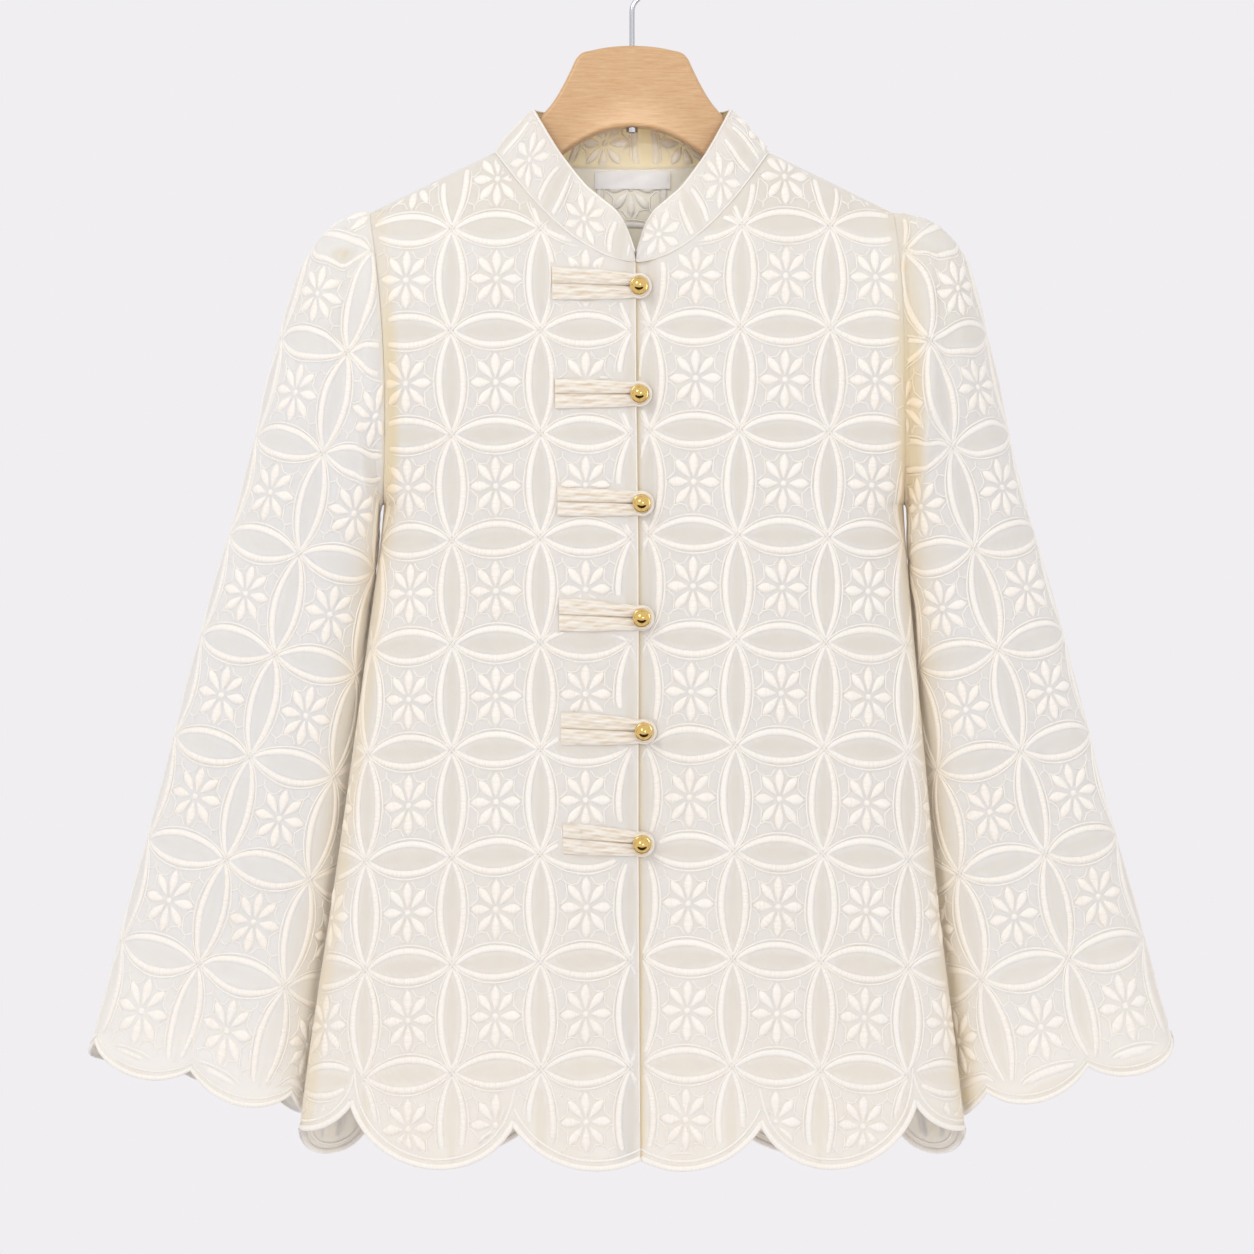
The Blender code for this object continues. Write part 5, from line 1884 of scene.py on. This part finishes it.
@dataclass
class CollarPiece:
    """The collar with its stitching and the thin pipings at its foot and top."""

    collar: Collar
    lattice: Lattice
    cloths: Cloths
    cord_height: float = 0.0009
    foot_piping: Pair = (0.02, 0.0007)
    top_piping: Pair = (0.975, 0.0008)
    # Painted warm shade on the collar's inner face and on the back of its stitching, inside the neck.
    inner_painted_shade: float = 0.75
    reverse_painted_shade: float = 0.5

    def piping(self, height: float, half: float) -> Patch:
        """A thin cord along the collar at a share of its height."""
        s = np.linspace(0.002, 0.998, 260)[:, None]
        w = np.linspace(-1, 1, 5)[None]
        share = height + w * (half / self.collar.rise)
        lift = self.cord_height * arch(w) - self.cloths.stitches.root
        flat = strip(s, share, lift, share * 0.03, s * self.collar.length, 0.2)
        return carry(flat, self.collar.raise_from)

    def cloth(self) -> Patch:
        """The ground cloth: a thin wall, with painted warm shade behind the neck and on its inner
        face.
        """
        s, height = np.meshgrid(np.linspace(0, 1, 300), np.linspace(1, 0, 22), indexing="xy")
        outer = self.collar.spot(s, height)
        inner = self.collar.raise_from(s, height, np.full_like(s, -self.cloths.thickness))
        p, q = s * self.collar.length, height * self.collar.rise
        window = Embroidery(self.cloths.stitches, self.lattice).windows(p, q)
        # Painted warm shade behind the neck, where the collar lies in shade.
        tint = tints(window, 0.35 * np.exp(-(((s - 0.5) / 0.16) ** 4)))
        uv = np.stack([p, q], axis=2)
        return shell(outer, inner, uv, tint, inner_painted_shade=self.inner_painted_shade)

    def build(self) -> None:
        embroidery = Embroidery(self.cloths.stitches, self.lattice)
        seen = Reverse(self.collar, self.cloths.thickness, 1.0, 1.0, self.reverse_painted_shade)
        parts = [embroidery.cover(self.collar), embroidery.cover(seen)]
        parts += [self.piping(*self.foot_piping), self.piping(*self.top_piping)]
        cloth, stitching = sew(self.cloths, "collar", self.cloth(), parts)


@dataclass(frozen=True)
class Fastening:
    """A button and the loop that goes round it."""

    drop: float
    x: float
    far_x: float
    far_drop: float
    height: float


FASTENINGS = (
    Fastening(0.2461, 0.0046, -0.0534, 0.2442, 0.0217),
    Fastening(0.3186, 0.0049, -0.0514, 0.3184, 0.0198),
    Fastening(0.3919, 0.0064, -0.0498, 0.3906, 0.0190),
    Fastening(0.4684, 0.0064, -0.0488, 0.4661, 0.0218),
    Fastening(0.5443, 0.0079, -0.0474, 0.5420, 0.0218),
    Fastening(0.6195, 0.0066, -0.0461, 0.6152, 0.0206),
)


@dataclass
class Loops:
    """The folded straps that close the front."""

    shape: BodyShape
    cloth: Material
    thickness: float = 0.0022
    least_crown: float = 0.0004
    pleat: float = 0.00032
    crinkle: Pair = (0.00055, 0.00024)
    stitch_line: float = 0.0007
    stitch_line_at: float = 0.0122
    slit_shade_share: float = 0.07
    eye_radius: float = 0.0027
    eye_outer: float = 0.0086
    slit_half: float = 0.00003
    eye_turn: float = 112.0
    lay_gap: float = 0.0004

    def edges(self, spec: Fastening) -> tuple[Array, Array]:
        """Inner and outer edge of the strap: along a leg, round the eye and back.

        Both are x away from the button and height above its level.
        """
        run = np.linspace(0, 1, 34)[:-1]
        bend = np.radians(np.linspace(self.eye_turn, -self.eye_turn, 37))
        eye = self.eye_radius * np.stack([np.cos(bend), np.sin(bend)], axis=1)
        rim = self.eye_outer * np.stack([np.cos(bend), np.sin(bend)], axis=1)
        away = (spec.far_x - spec.x) * (1 - run)
        leg_up = spec.height / 2 + (rim[0, 1] + self.slit_half - spec.height / 2) * run**2
        leg = np.stack([away + rim[0, 0] * run, leg_up], axis=1)
        slit_up = self.slit_half + 0.0008 * run**6
        slit = np.stack([away + eye[0, 0] * 1.35 * run, slit_up], axis=1)
        flip = np.array([1, -1])
        inner = np.concatenate([slit, eye, slit[::-1] * flip])
        return inner, np.concatenate([leg, rim, leg[::-1] * flip])

    def strap(self, number: int, spec: Fastening) -> Patch:
        """The strap: crowned across, crinkled along, with two soft pleats in each leg."""
        inner, outer = self.edges(spec)
        across = np.linspace(0, 1, 23)
        flat = inner[:, None] + (outer - inner)[:, None] * across[None, :, None]
        x = spec.x + flat[..., 0]
        slant = np.clip((spec.x - x) / (spec.x - spec.far_x), 0, 1)
        drop = spec.drop + (spec.far_drop - spec.drop) * slant - flat[..., 1]
        base = -self.shape.depth(np.minimum(x, spec.x), drop, Facing.FRONT) - self.lay_gap
        dome = 0.45 + 0.55 * np.sin(pi * across) ** 0.6
        v = np.broadcast_to(along_line(outer)[:, None], x.shape)
        u = np.broadcast_to(across[None] * spec.height / 2, x.shape)
        seed = 1.0 + 0.7 * number
        pleats = self.pleat * np.cos(across * 4 * pi + seed)[None]
        pleats = pleats * (0.6 + 0.5 * ripple(v / 0.021, 0 * u, seed + 2))
        crinkle = self.crinkle[0] * ripple(v / 0.0200, u / 0.0034, seed)
        crinkle = crinkle + self.crinkle[1] * ripple(v / 0.0070, u / 0.0022, seed)
        beside = (x - spec.far_x - self.stitch_line_at) / self.stitch_line
        sewn = -self.stitch_line * np.exp(-(beside**2))
        crown = self.thickness * dome[None] + (pleats + crinkle + sewn) * dome[None]
        high = np.stack([x, base - np.maximum(crown, self.least_crown), -drop], axis=2)
        low = np.stack([x, base, -drop], axis=2)
        # Painted shade: hollows of the crinkles and pleats take the darker window colour and some
        # warm shade colour, and the slit along the strap's inner edge the warm shade colour.
        crease_shade = np.clip(0.5 - (crinkle + pleats) / 0.0012, 0, 1)
        slit = np.exp(-((across / self.slit_shade_share) ** 2))[None]
        tint = tints(crease_shade, np.maximum(0.30 * crease_shade**3, 0.5 * slit))
        return shell(high, low, np.stack([u, v], axis=2), tint)

    def build(self) -> None:
        for number, spec in enumerate(FASTENINGS, 1):
            strap = write_mesh(f"loop_{number}_strap", self.strap(number, spec), self.cloth)
            ride(strap, [f"loop_{number}"])


@dataclass
class Buttons:
    """The gold ball buttons."""

    shape: BodyShape
    gold: Material
    ball: float = 0.0051
    shank: float = 0.0013
    rim: float = 0.0062
    rim_height: float = 0.0016
    rim_roll: float = 0.62
    under_depth: float = 0.0021
    loop_thickness: float = 0.0022
    lay_gap: float = 0.0004
    sunk: float = 0.80
    sides: int = 48

    def profile(self) -> Array:
        """Radius and height of the turned button: shank, rolled rim, groove and ball."""
        reach = self.under_depth + self.loop_thickness + self.lay_gap
        middle = reach + self.rim_height + self.ball * self.sunk
        small = self.rim_height * self.rim_roll
        rim = self.turned(np.linspace(-90, 110, 12), small, (self.rim - small, reach + small))
        ball = self.turned(np.linspace(-38, 90, 26), self.ball, (0.0, middle))
        ball[-1, 0] = 1e-6
        foot = [(1e-6, 0.0), (self.shank * 1.2, 0.0), (self.shank, 0.0006), (self.shank, reach)]
        return np.concatenate([np.array(foot), rim, ball])

    @staticmethod
    def turned(degrees: Array, radius: float, centre: Pair) -> Array:
        """Points of an arc, as radius and height."""
        a = np.radians(degrees)
        return np.stack([centre[0] + radius * np.cos(a), centre[1] + radius * np.sin(a)], axis=1)

    def build(self) -> None:
        """Turns each button's profile about a line through its place."""
        angle = np.linspace(0, 2 * pi, self.sides, endpoint=False)
        profile = self.profile()
        for number, spec in enumerate(FASTENINGS, 1):
            depth = self.shape.depth(np.array(spec.x), np.array(spec.drop), Facing.FRONT)
            base = -float(depth) + self.under_depth - self.lay_gap
            radius, out = profile[:, :1], profile[:, 1:]
            x = spec.x + radius * np.cos(angle)
            z = -spec.drop + radius * np.sin(angle)
            points = np.stack([x, base - out + 0 * x, z], axis=2).reshape(-1, 3)
            quads = grid_quads(len(profile), self.sides, True)
            if signed_volume(points - points.mean(axis=0), quads) < 0:
                quads = quads[:, ::-1]
            patch = Patch(points, quads, points[:, [0, 2]].copy(), tints(np.zeros(len(points))))
            button = write_mesh(f"button_{number}_turned", patch, self.gold, 80)
            ride(button, [f"button_{number}"])


@dataclass
class NeckLabel:
    """The bare satin label inside the back of the neck."""

    panel: Panel
    satin: Material
    thread: Material
    stitches: Stitches
    middle: float = 0.0004
    width: float = 0.052
    top: float = 0.1612
    height: float = 0.0115
    gap: float = 0.0020
    thickness: float = 0.0006
    seam_at: float = 0.47
    seam_margin: float = 0.0006
    seam_half: float = 0.0002
    seam_height: float = 0.00035
    seam_points: int = 12

    def seams(self) -> Patch:
        """The sewn line at each end, flat: dashes over its length."""
        count = self.seam_points
        first, last = self.top + self.seam_margin, self.top + self.height - self.seam_margin
        dashes = self.seam_height * (0.5 + 0.5 * np.sign(np.sin(np.arange(count) * 2.2)))
        lines = []
        for end in (-self.seam_at, self.seam_at):
            place = np.full(count, self.middle + end * self.width)
            path = np.stack([place, np.linspace(first, last, count)], axis=1)
            half = np.full(count, self.seam_half)
            lines.append(self.stitches.ribbon(path, half, dashes, 3, 0.0))
        return Patch.join(lines)

    def build(self) -> None:
        """Makes the label, a little bowed, with a sewn line at each end."""
        u, v = np.meshgrid(np.linspace(-0.5, 0.5, 40), np.linspace(0, 1, 12), indexing="xy")
        x, drop = self.middle + u * self.width, self.top + v * self.height
        bow = 0.0003 * np.cos(u * pi) + 0.00012 * ripple(u * 3, v, 1.0)
        near = self.panel.raise_from(x, drop, -(self.gap - bow))
        far = self.panel.raise_from(x, drop, -(self.gap + self.thickness - bow))
        satin = shell(near, far, np.stack([x, drop], axis=2), tints(np.zeros_like(x)))
        label = write_mesh("neck_label_satin", satin, self.satin)
        ride(label, ["neck_label"])

        def behind(a: Array, b: Array, height: Array) -> Array:
            """Points that stand height over the label's face."""
            return self.panel.raise_from(a, b, -(self.gap + self.thickness) - height)

        seams = write_mesh("neck_label_stitches", carry(self.seams(), behind), self.thread)
        ride(seams)


@dataclass
class Hanger:
    """The shaped wooden hanger and its steel hook."""

    wood: Material
    steel: Material
    half_thickness: float = 0.0065
    edge_round: float = 0.0030
    wire: float = 0.0018
    wire_sides: int = 24
    cap_rings: int = 6
    hook: float = 0.0220
    bend_drop: float = 0.0514
    bend: float = 0.0045
    open_degrees: float = 212.0
    foot_drop: float = 0.1350
    top: tuple[Pair, ...] = (
        (0.0000, 0.0796), (0.0150, 0.0806), (0.0270, 0.0828), (0.0345, 0.0850),
        (0.0375, 0.0880), (0.0410, 0.0950), (0.0470, 0.1070), (0.0540, 0.1185),
        (0.0625, 0.1285), (0.0740, 0.1425), (0.0880, 0.1568), (0.1040, 0.1614),
        (0.1300, 0.1728), (0.1480, 0.1824), (0.1570, 0.1896), (0.1605, 0.1990),
    )
    under: tuple[Pair, ...] = (
        (0.0000, 0.1347), (0.0160, 0.1368), (0.0320, 0.1432), (0.0486, 0.1545),
        (0.0650, 0.1690), (0.0850, 0.1840), (0.1100, 0.1970), (0.1330, 0.2065),
        (0.1490, 0.2100), (0.1570, 0.2070), (0.1605, 0.1990),
    )

    def line(self, rows: tuple[Pair, ...], count: int) -> Array:
        """A smooth line through rows of x and drop, by distance along it."""
        points = np.asarray(rows)
        along = along_line(points)
        keyed = Table(("along", "x", "drop"), tuple((a, *row) for a, row in zip(along, rows)))
        at = np.linspace(0, along[-1], count)
        return np.stack([keyed.read("x", at), -keyed.read("drop", at)], axis=1)

    def outline(self) -> Array:
        """The hanger's outline, once round."""
        upper, lower = self.line(self.top, 150), self.line(self.under, 110)
        right = np.concatenate([upper, lower[::-1][1:]])
        return np.concatenate([right, right[1:-1][::-1] * (-1, 1)])

    def build_wood(self) -> None:
        """Makes the wood: the outline carried round each edge's quarter circle, faces filled.

        A ring lies edge_round (1 - cos a) inside the outline and half_thickness less
        edge_round (1 - sin a) from the middle.
        """
        outline = self.outline()
        ahead, behind = np.roll(outline, -1, axis=0), np.roll(outline, 1, axis=0)
        way = unit(ahead - behind)
        inwards = np.stack([way[:, 1], -way[:, 0]], axis=1)
        area = np.sum(outline[:, 0] * ahead[:, 1] - ahead[:, 0] * outline[:, 1]) / 2
        inwards = inwards if area < 0 else -inwards
        turn = np.radians(np.linspace(90, 0, 9))
        insets = self.edge_round * (1 - np.cos(turn))
        fronts = -self.half_thickness + self.edge_round * (1 - np.sin(turn))
        rings = [*zip(insets, fronts), *zip(insets[::-1], -fronts[::-1])]
        corners = [np.insert(outline + inwards * inset, 1, y, axis=1) for inset, y in rings]
        corners = np.concatenate(corners)
        count = len(outline)
        quads = grid_quads(len(rings), count, True)
        last = count * (len(rings) - 1)
        faces = [tuple(map(int, q)) for q in quads]
        faces += [tuple(range(count))[::-1], tuple(range(last, last + count))]
        mesh = bpy.data.meshes.new("hanger_wood")
        mesh.from_pydata(corners.tolist(), [], faces)
        mesh.update()
        if signed_volume(corners, quads) < 0:
            mesh.flip_normals()
        ride(smoothed("hanger_wood_shaped", mesh, self.wood, 40), ["hanger_wood"])

    def wire_line(self) -> Array:
        """The wire's middle line: up, a bend to the right, then round over the rail."""
        centre = -(self.hook - self.wire)
        start = -self.bend_drop - self.bend
        fillet = self.bend / tan(radians(22.5))
        stem = np.stack([np.zeros(20), np.linspace(-self.foot_drop, start, 20)], axis=1)
        a = np.radians(np.linspace(0, 45, 9)[1:-1])
        bend = np.stack([fillet * (1 - np.cos(a)), start + fillet * np.sin(a)], axis=1)
        a = np.radians(np.linspace(-45, self.open_degrees, 90))
        ring = np.stack([self.hook * np.cos(a), centre + self.hook * np.sin(a)], axis=1)
        return np.concatenate([stem, bend, ring])

    def build_hook(self) -> None:
        """Makes the wire: a circle carried along its line, rounded off at both ends."""
        line = self.wire_line()
        way = unit(np.gradient(line, axis=0))
        cap = np.radians(np.linspace(90, 10, self.cap_rings))
        first = line[0] - way[0] * self.wire * np.sin(cap)[:, None]
        last = line[-1] + way[-1] * self.wire * np.sin(cap[::-1])[:, None]
        path = np.concatenate([first, line, last])
        ways = np.concatenate([way[:1]] * self.cap_rings + [way] + [way[-1:]] * self.cap_rings)
        radius = np.concatenate([np.cos(cap), np.ones(len(line)), np.cos(cap[::-1])]) * self.wire
        radius = np.maximum(radius, 1e-6)[:, None]
        across = np.stack([ways[:, 1], -ways[:, 0]], axis=1)
        angle = np.linspace(0, 2 * pi, self.wire_sides, endpoint=False)[None]
        x = path[:, :1] + across[:, :1] * radius * np.cos(angle)
        z = path[:, 1:] + across[:, 1:] * radius * np.cos(angle)
        points = np.stack([x, radius * np.sin(angle), z], axis=2).reshape(-1, 3)
        quads = grid_quads(len(path), self.wire_sides, True)
        if signed_volume(points, quads) < 0:
            quads = quads[:, ::-1]
        share = np.arange(self.wire_sides) / self.wire_sides
        uv = np.stack(np.meshgrid(share, along_line(path)), axis=2).reshape(-1, 2)
        patch = Patch(points, quads, uv, tints(np.zeros(len(points))))
        ride(write_mesh("hanger_hook_wire", patch, self.steel, 80), ["hanger_hook"])

    def build(self) -> None:
        """Makes the wood and the hook and gives the nut its finish."""
        self.build_wood()
        self.build_hook()
        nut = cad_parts["hanger_nut"]
        for slot in nut.material_slots:
            slot.material = self.steel


@dataclass(frozen=True)
class Lamp:
    """A square area light aimed at the blouse's middle."""

    name: str
    place: Place
    size: float
    power: float
    colour: Colour


@dataclass(frozen=True)
class Beam:
    """A narrow beam through the neck's opening, for the light that sheer cloth lets in."""

    place: Place = (0.0, -0.5, -0.02)
    target: Place = (0.0, 0.036, -0.172)
    slope: float = 0.037 / 0.56
    blend: float = 0.35
    size: float = 0.02
    power: float = 3.4


@dataclass
class Studio:
    """Pale floor, soft lights and the camera at the photograph's angle."""

    backdrop: Colour = (240, 238, 241)
    floor_drop: float = 1.75
    floor_radius: float = 4.9
    distance: float = 2.5
    aim: Pair = (-0.0034, -0.4744)
    frame_width: float = 0.8527
    sensor: float = 36.0
    lit: Place = (0.0, 0.0, -0.45)
    lamps: tuple[Lamp, ...] = (
        Lamp("key", (-1.2, -1.6, 0.9), 0.8, 10.0, (1.0, 0.975, 0.94)),
        Lamp("fill", (0.9, -2.6, -0.15), 0.5, 8.5, (1.0, 0.985, 0.96)),
    )
    beam: Beam = Beam()
    card_colour: Colour = (40, 30, 20)
    card_half: float = 2.6
    card_near: float = -1.7
    card_far: float = -0.1
    card_rise: float = 0.005

    def build_world(self) -> None:
        """An even pale surround."""
        world = bpy.data.worlds.new("surround")
        bpy.context.scene.world = world
        world.use_nodes = True
        background = world.node_tree.nodes["Background"]
        background.inputs[0].default_value = linear(self.backdrop)
        background.inputs[1].default_value = 1.0

    def hang(self, lamp: Light, place: Place, target: Place) -> None:
        """Puts a lamp at a place and turns it so that it shines at the target."""
        holder = linked(lamp.name, lamp)
        holder.location = place
        way = Vector(target) - Vector(place)
        holder.rotation_euler = way.to_track_quat("-Z", "Y").to_euler()

    def build_lights(self) -> None:
        """The lamps, and the beam into the neck."""
        for spec in self.lamps:
            lamp = bpy.data.lights.new(spec.name, "AREA")
            lamp.size, lamp.energy, lamp.color = spec.size, spec.power, spec.colour
            self.hang(lamp, spec.place, self.lit)
        beam = bpy.data.lights.new("neck", "SPOT")
        beam.energy, beam.shadow_soft_size = self.beam.power, self.beam.size
        beam.spot_size, beam.spot_blend = 2 * atan(self.beam.slope), self.beam.blend
        self.hang(beam, self.beam.place, self.beam.target)

    def ground(self, name: str, colour: Colour, corners: list[Place]) -> Object:
        """A matt flat piece of the studio, its colour a little uneven."""
        mesh = bpy.data.meshes.new(name)
        mesh.from_pydata(corners, [], [tuple(range(len(corners)))])
        sketch = ShaderSketch(f"{name}_finish")
        grain = sketch.noise(sketch.place(), 3.0, 2.0)
        pale = tuple(min(255.0, c * 1.02) for c in colour)
        sketch.dress(Base_Color=sketch.mix(grain, linear(colour), linear(pale)), Roughness=0.9)
        mesh.materials.append(sketch.material)
        made = linked(name, mesh)
        return made

    def build_floor(self) -> None:
        """A pale round floor and a dark card on it in front, which only the gold reflects."""
        turns = np.linspace(0, 2 * pi, 96, endpoint=False)
        r, z = self.floor_radius, -self.floor_drop
        self.ground("floor", self.backdrop, [(r * cos(a), r * sin(a), z) for a in turns])
        x, near, far, z = self.card_half, self.card_near, self.card_far, z + self.card_rise
        corners = [(-x, near, z), (x, near, z), (x, far, z), (-x, far, z)]
        card = self.ground("card", self.card_colour, corners)
        card.visible_camera = card.visible_diffuse = card.visible_shadow = False

    def build_camera(self) -> None:
        """The camera, level and straight in front."""
        data = bpy.data.cameras.new("camera")
        data.sensor_width = self.sensor
        data.lens = self.sensor * self.distance / self.frame_width
        camera = linked("camera", data)
        camera.location = (self.aim[0], -self.distance, self.aim[1])
        camera.rotation_euler = (pi / 2, 0.0, 0.0)
        bpy.context.scene.camera = camera

    def build(self) -> None:
        """Sets up the whole studio."""
        bpy.context.scene.view_settings.view_transform = "Standard"
        self.build_world()
        self.build_lights()
        self.build_floor()
        self.build_camera()


FRONT_CREASES = {
    Side.LEFT: (
        Crease((-0.150, 0.240), (-0.120, 0.420), 0.010, 0.0018),
        Crease((-0.105, 0.470), (-0.125, 0.800), 0.014, 0.0020),
        Crease((-0.060, 0.500), (-0.055, 0.820), 0.013, -0.0016),
    ),
    Side.RIGHT: (
        Crease((0.150, 0.230), (0.128, 0.400), 0.010, 0.0018),
        Crease((0.110, 0.460), (0.130, 0.790), 0.014, 0.0020),
        Crease((0.060, 0.480), (0.058, 0.800), 0.013, -0.0015),
    ),
}
BACK_CREASES = (
    Crease((-0.120, 0.260), (-0.095, 0.520), 0.014, 0.0022),
    Crease((0.115, 0.250), (0.100, 0.540), 0.014, 0.0022),
    Crease((-0.050, 0.420), (-0.060, 0.800), 0.016, 0.0020),
    Crease((0.065, 0.430), (0.055, 0.790), 0.016, -0.0018),
)
SLEEVE_BACK_CREASES = (
    Crease((0.195, 0.230), (0.215, 0.400), 0.006, 0.0030),
    Crease((0.184, 0.235), (0.196, 0.360), 0.006, -0.0030),
    Crease((0.262, 0.430), (0.320, 0.740), 0.010, 0.0018),
)
SLEEVE_CREASES = {
    Side.LEFT: {
        Facing.FRONT: (
            Crease((0.1945, 0.216), (0.1975, 0.345), 0.0045, 0.0040),
            Crease((0.1790, 0.214), (0.1755, 0.385), 0.0050, -0.0060),
            Crease((0.2010, 0.2225), (0.1860, 0.2190), 0.0022, 0.0040),
            Crease((0.2070, 0.330), (0.2300, 0.480), 0.0090, 0.0020),
            Crease((0.2550, 0.480), (0.3100, 0.760), 0.0110, 0.0018),
        ),
        Facing.BACK: SLEEVE_BACK_CREASES,
    },
    Side.RIGHT: {
        Facing.FRONT: (
            Crease((0.2075, 0.216), (0.2090, 0.345), 0.0045, 0.0030),
            Crease((0.1985, 0.212), (0.1985, 0.390), 0.0048, -0.0055),
            Crease((0.2090, 0.2190), (0.1900, 0.2160), 0.0022, 0.0035),
            Crease((0.2250, 0.330), (0.2400, 0.480), 0.0090, 0.0018),
            Crease((0.2700, 0.480), (0.3150, 0.760), 0.0110, 0.0018),
        ),
        Facing.BACK: SLEEVE_BACK_CREASES,
    },
}


FRONT_LATTICES = {
    Side.LEFT: Lattice(p0=-0.0007, q0=0.2067, down=0.0686, stretch=0.0002, sag=0.0090),
    Side.RIGHT: Lattice(p0=0.0137, q0=0.2045, down=0.0686, stretch=0.0002, drift=-0.0009, sag=0.0090),
}
BACK_LATTICE = Lattice(p0=0.0301, q0=0.2067, down=0.0686, stretch=0.0002)
SLEEVE_LATTICES = {
    Side.LEFT: Lattice(p0=0.0, q0=0.0022, down=0.0690, stretch=0.0003),
    Side.RIGHT: Lattice(p0=0.0, q0=-0.0033, down=0.0690, stretch=0.0003),
}
COLLAR_LATTICE = Lattice(p0=0.0120, q0=-0.017)


def build_blouse(cloths: Cloths) -> tuple[BodyShape, Panel]:
    """Builds the cloth pieces in the order that they are sewn.

    Args:
        cloths: their finishes and borders.

    Returns:
        The body's shape and the back, for the pieces that lie on them.
    """
    shape, sleeve_shape = BodyShape(), SleeveShape()
    for side, lattice in FRONT_LATTICES.items():
        name = f"front_{side.name.lower()}"
        panel = Panel(shape, Facing.FRONT, side, FRONT_HEM, FRONT_CREASES[side])
        size = {"columns": 92, "rows": 250, "flat": (0.25, 0.68), "area": 0.132}
        PanelPiece(name, panel, lattice, cloths, **size).build()
    back = Panel(shape, Facing.BACK, None, BACK_HEM, BACK_CREASES)
    size = {"columns": 150, "rows": 200, "flat": (0.50, 0.68), "area": 0.27}
    PanelPiece("back", back, BACK_LATTICE, cloths, **size).build()
    for side, lattice in SLEEVE_LATTICES.items():
        sleeve = Sleeve(shape, sleeve_shape, side, SLEEVE_CREASES[side])
        SleevePiece(f"sleeve_{side.name.lower()}", sleeve, lattice, cloths).build()
    CollarPiece(Collar(shape), COLLAR_LATTICE, cloths).build()
    return shape, back


def main() -> None:
    """Builds the looks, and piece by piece."""
    logging.basicConfig(level=logging.INFO, format="%(name)s: %(message)s")
    cloths = Cloths(ClothFinish().make(), ThreadFinish().make())
    shape, back = build_blouse(cloths)
    # The loops' cloth: its window and seam colours are painted shade in the straps' hollows and slit.
    folded = ClothFinish(
        name="folded_cloth",
        ground=(246, 235, 219),
        window=(240, 227, 210),
        seam=(222, 192, 154),
        lit=(251, 244, 232),
    )
    Loops(shape, folded.make()).build()
    Buttons(shape, MetalFinish("polished_gold", (232, 198, 122), 0.05).make()).build()
    NeckLabel(back, LabelFinish().make(), cloths.thread, cloths.stitches).build()
    steel = MetalFinish("plated_steel", (196, 198, 202), 0.18).make()
    Hanger(WoodFinish().make(), steel).build()
    Studio().build()


if __name__ == "__main__":
    main()
